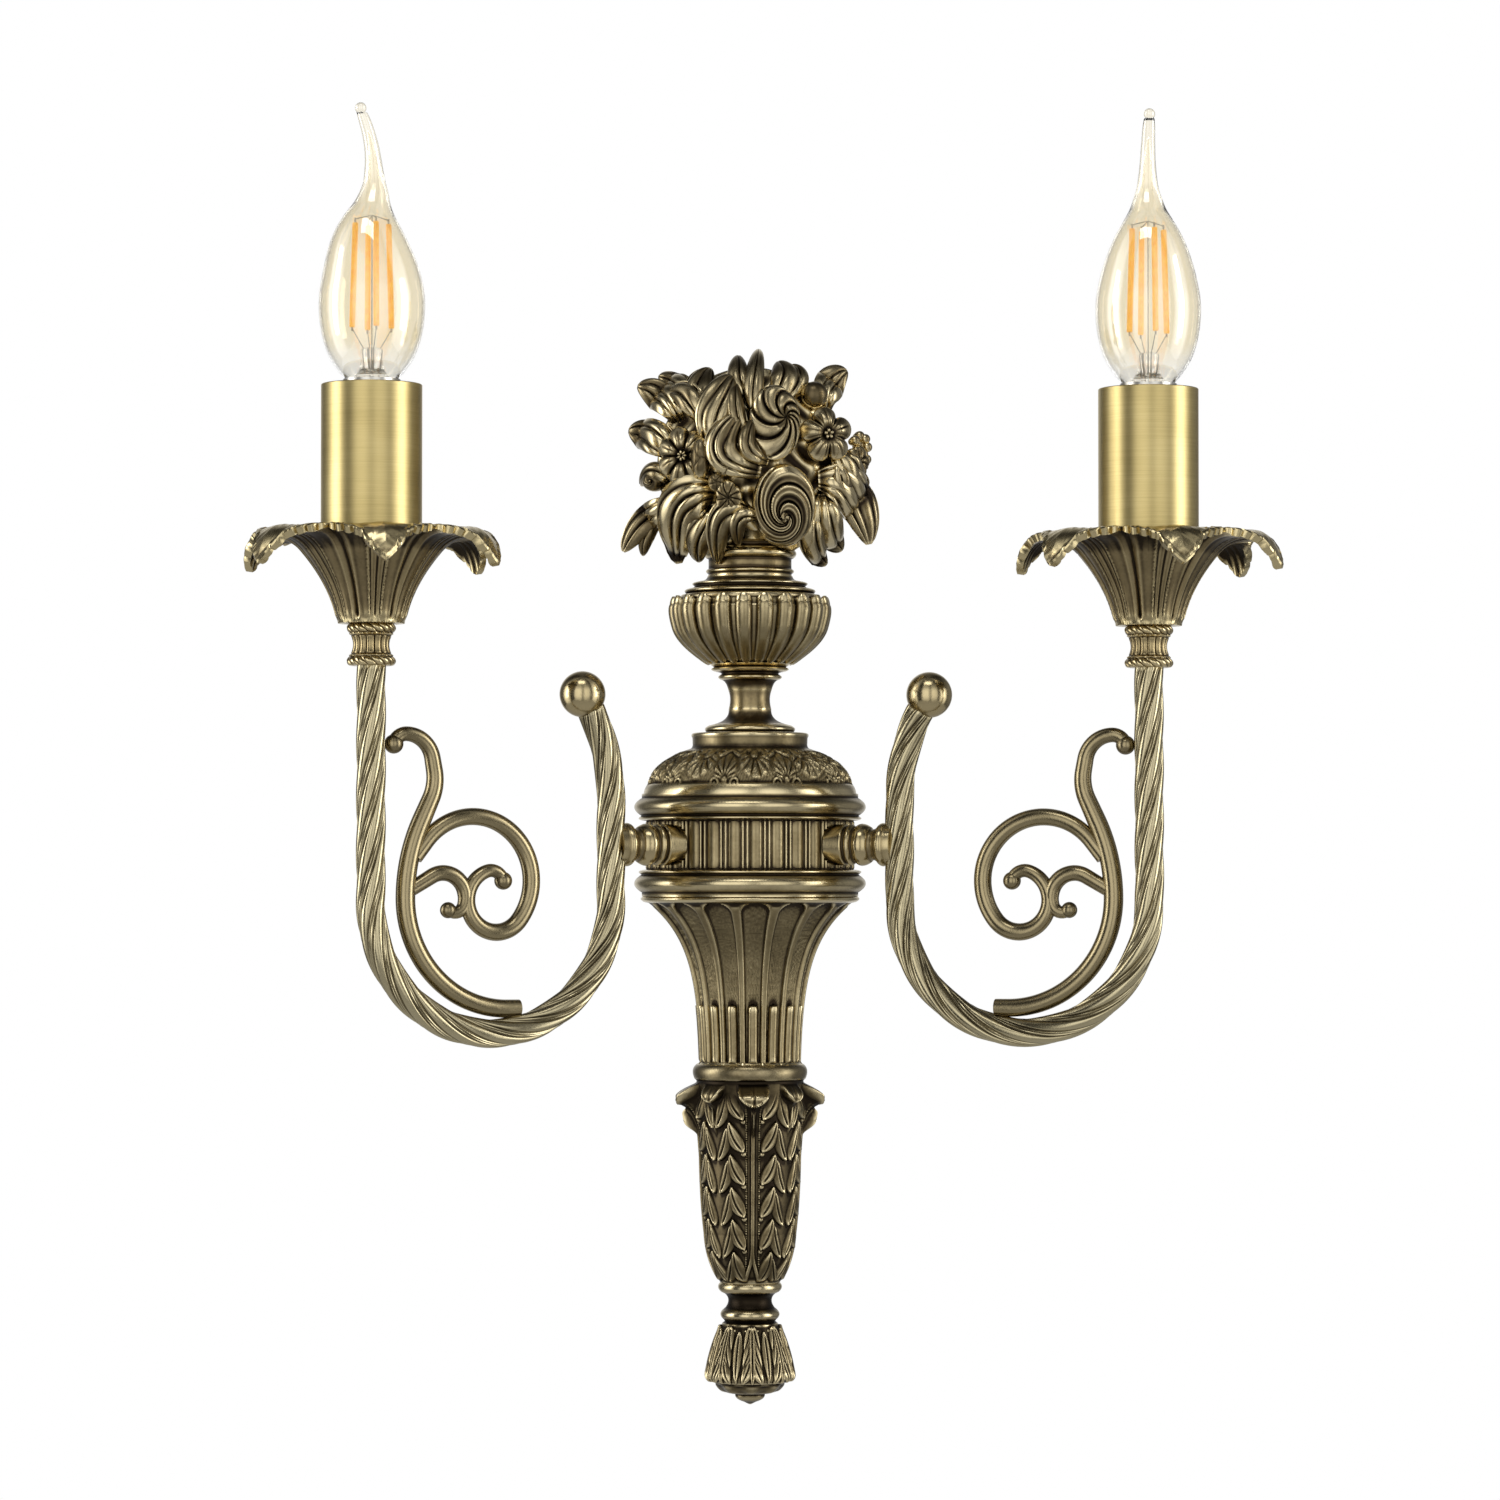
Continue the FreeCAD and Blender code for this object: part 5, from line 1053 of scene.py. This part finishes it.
def make_scroll(side, turn):
    bottom = BEND_Z - BEND_R + ARM_R + 3.2
    bars = (
        ((CANDLE_U - 53.2, bottom), 0, 3.2, 3.2,
         [(4.3, 0), (36.6, 90), (60.0, 25), (8.0, 0), (16.0, -35), (4.0, 0), (9.5, -80), (4.6, -75)]),
        ((CANDLE_U - 15.6, -4.4), 128, 2.9, 3.0, [(6.8, 0), (21.2, 180), (10.4, 212), (4.6, 95)]),
        ((CANDLE_U - 13.6, -15.3), 150, 2.6, 2.7, [(9.4, 0), (8.0, 140), (3.6, 110)]),
    )
    parts = []
    for start, heading, radius, knob, bends in bars:
        places = scroll_line(start, heading, bends)

        def radius_at(share, radius=radius):
            return radius * (0.93 + 0.09 * math.sin(math.pi * share)) * (1 - 0.22 * max(share - 0.7, 0) / 0.3)

        parts.append(tapered_rod(places, radius_at))
        parts.append(ball(places[-1], knob))
    points, faces = joined(parts)
    obj = make_piece("scroll_bars_" + side, on_side(points, turn), faces, SHADED_SCROLL_BRASS, 60)
    set_on(obj, "root", "scroll_brass", "scroll_" + side)


# ---------------------------------------------------------------- candle side


def make_collar(side, turn):
    low, high = ARM_TOP_Z, COLLAR_TOP
    middle = (low + high) / 2
    section = profile(
        (3.6, high), (6.9, high), ((7.8, high - 1.5), (6.9, high - 3.0)), (6.9, high - 3.4), (6.5, high - 3.9),
        ((5.7, middle), (6.5, low + 3.9)), (6.9, low + 3.4), (6.9, low + 3.0), ((7.8, low + 1.5), (6.9, low)),
        (3.6, low), spacing=0.22,
    )

    def rope(angle, height):
        rise = np.zeros_like(height)
        for centre in (low + 1.5, high - 1.5):
            near = np.abs(height - centre) < 1.5
            rise += near * (humps(angle / 360 * 15 + (height - centre) * 0.33) * 0.75 - 0.45)
        for centre in (low + 3.4, high - 3.4):
            rise += humps(angle / 360 * 26) * crown(height - centre, 0.45) * 0.4
        rise += (humps(angle / 360 * 14) * 0.8 - 0.5) * smooth_step(3.2 - np.abs(height - middle), 0, 0.7)
        return rise

    obj = turning("rope_collar_" + side, section, CANDLE_U, turn, TURNED, 300, rope, 50)
    set_on(obj, "root", "turned_brass", "collar_" + side)


def petal_edge(off):
    """How far the leaf cup's edge runs from its valleys, 0, to a petal's tip, 1, at an angle off that petal."""
    share = off / (PETAL_PITCH / 2)
    hanging = 1 - 0.62 * np.clip(share / 0.4, 0, 1) ** 1.25
    rim = 0.38 * np.clip(1 - (share - 0.4) / 0.6, 0, 1) ** 0.7
    return np.where(share < 0.4, hanging, rim)


def make_leaf_cup(side, turn):
    """Leaf cup: six petals in one casting, ribbed outside, with thick toothed edges."""
    base = COLLAR_TOP
    path = profile(
        (3.6, base), (10.9, base), ((14.7, base + 11.7), (22.4, base + 23.3)),
        ((27.3, base + 27.3), (CREST_R, base + CREST_RISE)),
        ((40.6, base + CREST_RISE - 4.0), (PETAL_R - 3.0, base + CREST_RISE - PETAL_DROP - 4.5)), spacing=0.2,
    )
    length = np.concatenate([[0], np.cumsum(np.linalg.norm(np.diff(path, axis=0), axis=1))])
    normal = section_normals(path[::-1])[::-1]
    cols, rows = 720, 84
    angle = np.arange(cols) * 360 / cols
    turn_in = angle - PETAL_TURN
    off = np.abs(off_middle(turn_in, PETAL_PITCH))
    valley_at, tip_at = np.interp([VALLEY_R, PETAL_R - 3.6], path[:, 0], length)
    tooth = ((off - 5.2) / 4.96) % 1.0
    notch = np.where(off > 5.2, 1.5 * np.abs(2 * tooth - 1) ** 3, 0.0)
    edge = valley_at + (tip_at - valley_at) * petal_edge(off) - notch
    t = np.linspace(0, 1, rows)
    t = np.concatenate([t[:-1], [0.994, 1.0]])
    rows = len(t)
    s = t[:, None] * edge[None]
    r, z = np.interp(s, length, path[:, 0]), np.interp(s, length, path[:, 1])
    nr, nz = np.interp(s, length, normal[:, 0]), np.interp(s, length, normal[:, 1])
    off = off_middle(turn_in[None], PETAL_PITCH)
    across = np.radians(off) * r
    half = np.radians(PETAL_PITCH / 2) * r
    out = smooth_step(s, 8.0, 10.5)
    scale = np.clip(r / 14.0, 0.8, 1.6)
    rib = crown(np.abs(across) - 0.9 * scale, 0.7 * scale) * 0.5
    panel = np.abs(across) / half
    border = ridge(panel - 0.82, 0.085) * 0.6
    hump = np.clip(1 - ((panel - 0.48) / 0.36) ** 2, 0, 1) * 0.75
    dots = humps(s * 0.95) * ridge(panel - 0.30, 0.05) * 0.35
    valley = -0.6 * ridge(panel - 1.0, 0.06)
    outer_rise = (rib + border + hump + dots + valley - 0.35) * out
    to_edge = edge[None] - s
    border = 0.5 * ridge(to_edge - 0.9, 0.7)
    veins = 0.05 * np.cos(2 * np.pi * (s * 0.30 - np.abs(across) * 0.26))
    keel = 0.6 * np.clip(1 - np.abs(across) / 7.5, 0, 1)
    inner_rise = (keel + border + veins) * smooth_step(r, 22, 28)
    thick = 2.0
    phi = np.radians(angle)[None]

    def shell(lift):
        rr, zz = r + nr * lift, z + nz * lift
        return np.stack([rr * np.cos(phi), rr * np.sin(phi), zz], -1).reshape(-1, 3)

    fit = np.clip(np.minimum(thick, (s - 2) * 0.4), 0.6, thick)
    count = rows * cols
    faces = grid_quads(rows, cols, wrap_cols=True)
    faces += [q[::-1] for q in grid_quads(rows, cols, wrap_cols=True, start=count)]
    for row in (0, rows - 1):
        for c in range(cols):
            d = (c + 1) % cols
            faces.append([row * cols + c, row * cols + d, count + row * cols + d, count + row * cols + c])
    # the cup is made facing the viewer and keeps that turn on both sides
    points = np.concatenate([shell(outer_rise), shell(-fit - inner_rise)])
    points = points @ rotation(-90 - turn).T + [CANDLE_U, 0, 0]
    obj = make_piece("leaf_cup_" + side, on_side(points, turn), faces, CUP, 42)
    set_on(obj, "root", "leaf_brass", "bobeche_" + side)


def make_sleeve(side, turn):
    bore = SLEEVE_R - SLEEVE_T
    section = profile(
        (bore, SLEEVE_TOP - 0.2), (bore + 0.25, SLEEVE_TOP), (SLEEVE_R - 0.25, SLEEVE_TOP),
        (SLEEVE_R, SLEEVE_TOP - 0.25), (SLEEVE_R, SLEEVE_Z + 0.2), (SLEEVE_R - 0.2, SLEEVE_Z), (bore, SLEEVE_Z),
        spacing=6,
    )
    obj = turning("sleeve_tube_" + side, section, CANDLE_U, turn, SATIN, 160)
    set_on(obj, "sleeve_" + side, "satin_brass", "candle_sleeve_" + side)


# ---------------------------------------------------------------- bulbs


def flame_section():
    """Radius, height and outward sway of the glass from the cap to the bead."""
    rows = [(8.8, 151.4, 0), (8.85, 152.4, 0), (10.9, 154.8, 0), (13.9, 159.3, 0), (15.9, 164.5, 0),
            (17.0, 169.8, 0), (17.45, 175.0, 0), (17.3, 180.3, 0), (16.4, 185.5, 0.1), (15.1, 190.7, 0.4),
            (13.3, 196.0, 0.9), (11.0, 201.2, 1.2), (8.3, 206.0, 1.0), (6.1, 210.0, 0.1), (4.8, 213.6, -0.6),
            (3.7, 217.2, -0.8), (3.1, 221.0, -0.6), (2.7, 225.0, -0.3), (2.45, 229.0, 0.3), (2.25, 233.0, 1.3),
            (2.1, 236.6, 2.5), (1.8, 239.4, 3.6)]
    return np.array(rows)


def smooth_rows(rows, count):
    """The same rows on a smooth curve through them."""
    t = np.linspace(0, len(rows) - 1, count)
    k = np.clip(t.astype(int), 0, len(rows) - 2)
    f = (t - k)[:, None]
    p0, p1 = rows[np.maximum(k - 1, 0)], rows[k]
    p2, p3 = rows[k + 1], rows[np.minimum(k + 2, len(rows) - 1)]
    square, cube = 2 * p0 - 5 * p1 + 4 * p2 - p3, 3 * p1 - p0 - 3 * p2 + p3
    return 0.5 * (2 * p1 + (p2 - p0) * f + square * f ** 2 + cube * f ** 3)


def make_bulb(side, turn):
    sway_turn = math.radians(0 if side == "left" else ARM_SWING - 90)
    rows = smooth_rows(flame_section(), 150)
    top, polar = rows[-1], np.linspace(2.3, 0.0, 14)
    bead = np.stack([np.maximum(1.9 * np.sin(polar), 0.0), top[1] + 1.6 + 1.9 * np.cos(polar),
                     np.full(14, top[2] + 0.5)], -1)
    outer = np.concatenate([rows, bead])
    inner = rows[rows[:, 1] < TAIL_SOLID_Z].copy()
    inner[:, 0] -= np.interp(inner[:, 1], [205, 220, TAIL_SOLID_Z], [GLASS_T, 1.3, 1.9])
    inner[:, 1] += 0.2 * (inner[:, 1] < 160)
    inner = np.concatenate([inner, [[0.0, TAIL_SOLID_Z + 1.0, 1.6]]])
    cols = 96
    phi = circle_angles(cols)

    def skin(section):
        x = section[:, :1] * np.cos(phi) + section[:, 2:] * math.cos(sway_turn)
        y = section[:, :1] * np.sin(phi) + section[:, 2:] * math.sin(sway_turn)
        z = np.repeat(section[:, 1:2], cols, 1)
        return np.stack([CANDLE_U + x, y, z], -1).reshape(-1, 3)

    out_points, in_points = skin(outer), skin(inner)
    count = len(out_points)
    faces = grid_quads(len(outer), cols, wrap_cols=True)
    faces += [q[::-1] for q in grid_quads(len(inner), cols, wrap_cols=True, start=count)]
    faces += [[c, count + c, count + (c + 1) % cols, (c + 1) % cols] for c in range(cols)]
    points = on_side(np.concatenate([out_points, in_points]), turn)
    obj = make_piece("flame_glass_" + side, points, faces, AMBER, 60, outwards=False)
    if signed_volume(obj.data) < 0:
        obj.data.flip_normals()
    set_on(obj, "bulb_" + side, "amber_glass", "bulb_glass_" + side)


def straight_rod(start, end, radius, cols=12):
    """Closed round rod between two points."""
    start, end = np.array(start, float), np.array(end, float)
    along = unit(end - start)
    side = unit(np.cross(along, UP if abs(along[2]) < 0.9 else np.array([1.0, 0.0, 0.0])))
    phi = circle_angles(cols)[:, None]
    ring = radius * (np.cos(phi) * side + np.sin(phi) * np.cross(along, side))
    length = np.linalg.norm(end - start)
    rows = [start, start + ring, end + ring, end] if radius < 0.4 else [
        start, start + ring * 0.7, start + along * 0.3 + ring, end - along * min(0.3, length / 3) + ring,
        end + ring * 0.7, end]
    return ring_stack(np.stack([np.broadcast_to(row, (cols, 3)) for row in rows]), False, False)


def make_filaments(side, turn):
    """Four coated filaments on thin wires over a glass stem."""
    feet, tops, post, pinch = 169.0, 203.2, 161.6, 153.0
    axis = np.array([CANDLE_U, 0, 0])
    strips, wires = [], []
    for index in range(4):
        angle = math.radians(90 * index + 14 - turn)
        way = np.array([math.cos(angle), math.sin(angle), 0.0])
        foot, top = axis + UP * feet + way * 6.6, axis + UP * tops + way * 5.6
        post_top = axis + UP * post + way * 2.4
        strips.append(straight_rod(foot, top, 0.95, 20))
        wires += [
            straight_rod(post_top, foot - UP * 0.3, 0.16),
            straight_rod(foot - UP * 1.2, foot + UP * 0.4, 0.34),
            straight_rod(top - UP * 0.4, top + UP * 1.6, 0.34),
            straight_rod(top + UP * 1.2, axis + UP * (tops + 2.6) + way * 0.4, 0.16),
            straight_rod(axis + UP * pinch + way * 1.6, post_top, 0.2),
        ]
    wires.append(straight_rod(axis + UP * (pinch + 1.0), axis + UP * (tops + 2.8), 0.2))
    for name, rods, finish, nodes in (("coated_filaments_", strips, GLOWING_FILAMENT, ["bulb_filaments_" + side]),
                                      ("support_wires_", wires, WIRE, [])):
        points, faces = joined(rods)
        set_on(make_piece(name + side, on_side(points, turn), faces, finish), "bulb_" + side, "filament", *nodes)
    section = profile((0.0, 152.0), (7.6, 152.0), ((4.6, 154.6), (3.6, 159.4)), ((3.6, 161.4), (2.6, 162.2)),
                      ((1.4, 162.6), (0.0, 162.7)), spacing=0.5)
    obj = turning("glass_stem_" + side, section, CANDLE_U, turn, CLEAR, 64)
    set_on(obj, "bulb_" + side, "clear_glass", "bulb_stem_" + side)


def signed_volume(mesh):
    bm = bmesh.new()
    bm.from_mesh(mesh)
    volume = bm.calc_volume(signed=True)
    bm.free()
    return volume


def dress_hidden_parts():
    """New finishes for the CAD nodes that keep their shape."""
    single = {ZINC: ("tie_rod", "wall_bracket", "bracket_screws", "terminal_screws"), PORCELAIN: ("terminal_block",)}
    paired = {ZINC: ("side_nipple", "side_nut", "candle_nipple"), HOLDER: ("holder",), WIRE_COVER: ("lead",),
              CAP_METAL: ("socket_shell", "socket_contact", "bulb_cap", "bulb_contact")}
    names = [(finish, name) for finish, group in single.items() for name in group]
    names += [(finish, name + "_" + side) for finish, group in paired.items() for name in group for side in SIDES]
    for finish, name in names:
        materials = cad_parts[name].data.materials
        materials.clear()
        materials.append(finish)


# ---------------------------------------------------------------- build

for make in (make_drum, make_dome, make_urn_foot, make_urn, make_trumpet, make_leaf_sheath, make_finial,
             make_bouquet):
    make()
for side, turn in SIDES.items():
    for make in (make_arm, make_coupling, make_arm_ball, make_scroll, make_collar, make_leaf_cup, make_sleeve,
                 make_bulb, make_filaments):
        make(side, turn)
dress_hidden_parts()

# ---------------------------------------------------------------- stage, light and camera


def seen_directly(tree):
    """Whether a ray comes from the camera, also through glass, and whether it is a reflection."""
    ray = add(tree, "ShaderNodeLightPath").outputs
    return math_node(tree, "MAXIMUM", ray["Is Camera Ray"], ray["Is Transmission Ray"]), ray["Is Glossy Ray"]


def make_floor(half=2.4, low=-1.5):
    """Plain pale floor that fades to the white background towards its edges."""
    mesh = bpy.data.meshes.new("floor")
    corners = [(x * half, y * half, low) for x, y in ((-1, -1), (1, -1), (1, 1), (-1, 1))]
    mesh.from_pydata(corners, [], [(0, 1, 2, 3)])
    material, tree, shader, place = new_material("pale_floor")
    dress_shader(tree, shader, Base_Color=(0.86, 0.86, 0.86, 1), Roughness=0.9)
    distance = add(tree, "ShaderNodeVectorMath", operation="LENGTH", Vector=place).outputs["Value"]
    fade = map_range(tree, distance, 1.55, 2.1, kind="SMOOTHSTEP")
    mix = add(tree, "ShaderNodeMixShader", Fac=math_node(tree, "MULTIPLY", fade, seen_directly(tree)[0]))
    link(tree, shader.outputs[0], mix.inputs[1])
    link(tree, add(tree, "ShaderNodeEmission", Strength=1.0).outputs[0], mix.inputs[2])
    link(tree, mix.outputs[0], tree.nodes["Material Output"].inputs["Surface"])
    mesh.materials.append(material)
    new_object("floor", mesh)


# brightness that the metal reflects at each bearing from straight ahead of the object, in degrees
STUDIO_WALLS = (
    (-180, 0.9), (-160, 0.7), (-146, 0.14), (-112, 0.18), (-103, 2.2), (-77, 2.2), (-68, 0.07), (-45, 0.07),
    (-38, 1.45), (-10, 1.55), (-3, 0.5), (4, 0.5), (10, 1.5), (34, 1.1), (43, 0.08), (50, 0.10), (58, 2.1),
    (86, 2.1), (96, 0.12), (112, 0.26), (130, 0.26), (146, 0.12), (162, 0.7), (180, 0.9),
)
BRIGHTEST = 3.0
# share of that brightness at each height, from straight below, 0, to straight above, 1
STUDIO_RISE = ((0.0, 0.10), (0.10, 0.16), (0.24, 0.45), (0.42, 0.95), (0.66, 1.0), (0.80, 0.45), (0.90, 0.16),
               (1.0, 0.14))


def make_world():
    """White behind the object; a studio with tall soft boxes at both sides for what the metal reflects."""
    world = bpy.data.worlds.new("studio")
    world.use_nodes = True
    bpy.context.scene.world = world
    tree = world.node_tree
    seen, glossy = seen_directly(tree)
    way = add(tree, "ShaderNodeTexCoord").outputs["Generated"]
    x, y, z = (split_place(tree, way, axis) for axis in "XYZ")
    bearing = math_node(tree, "ARCTAN2", x, math_node(tree, "MULTIPLY", y, -1.0))
    share = math_node(tree, "MULTIPLY_ADD", bearing, 0.5 / math.pi, 0.5)
    walls = ramp(tree, share, [((angle + 180) / 360, level / BRIGHTEST) for angle, level in STUDIO_WALLS])
    rise = ramp(tree, math_node(tree, "MULTIPLY_ADD", z, 0.5, 0.5), STUDIO_RISE)
    gloss = math_node(tree, "MULTIPLY", math_node(tree, "MULTIPLY", walls, rise), BRIGHTEST)
    level = add(tree, "ShaderNodeMix", data_type="FLOAT", Factor=glossy, A=0.42, B=gloss).outputs["Result"]
    shown = add(tree, "ShaderNodeMix", data_type="FLOAT", Factor=seen, A=level, B=1.0).outputs["Result"]
    back = tree.nodes["Background"]
    link(tree, shown, back.inputs["Strength"])
    back.inputs["Color"].default_value = (1, 1, 1, 1)


def soft_box(name, place, target, width, height, watts):
    data = bpy.data.lights.new(name, "AREA")
    data.shape = "RECTANGLE"
    data.size, data.size_y = width, height
    data.energy = watts
    lamp = new_object(name, data)
    lamp.location = place
    lamp.rotation_euler = (Vector(target) - Vector(place)).to_track_quat("-Z", "Y").to_euler()


def make_camera():
    """Camera of the photograph: a long lens slightly from the left and below, pitched up a little."""
    data = bpy.data.cameras.new("camera")
    data.sensor_width = 36.0
    data.lens = 117.6
    data.clip_end = 30
    camera = new_object("camera", data)
    away, swing, pitch = 1.676, math.radians(3.3), math.radians(1.5)
    camera.location = (-away * math.sin(swing), -AXIS_OUT * MM - away * math.cos(swing), -0.0113)
    camera.rotation_euler = (math.pi / 2 + pitch, 0, -swing)
    bpy.context.scene.camera = camera


make_floor()
make_world()
make_camera()
soft_box("left box", (-1.6, -0.15, 0.35), (0, -0.05, 0), 0.35, 1.2, 4)
soft_box("right box", (1.55, -0.55, 0.35), (0, -0.05, 0), 0.35, 1.2, 4)
soft_box("top box", (-0.2, -0.9, 1.6), (0, -0.05, 0), 0.9, 0.5, 4)
bpy.context.scene.view_settings.view_transform = "Standard"
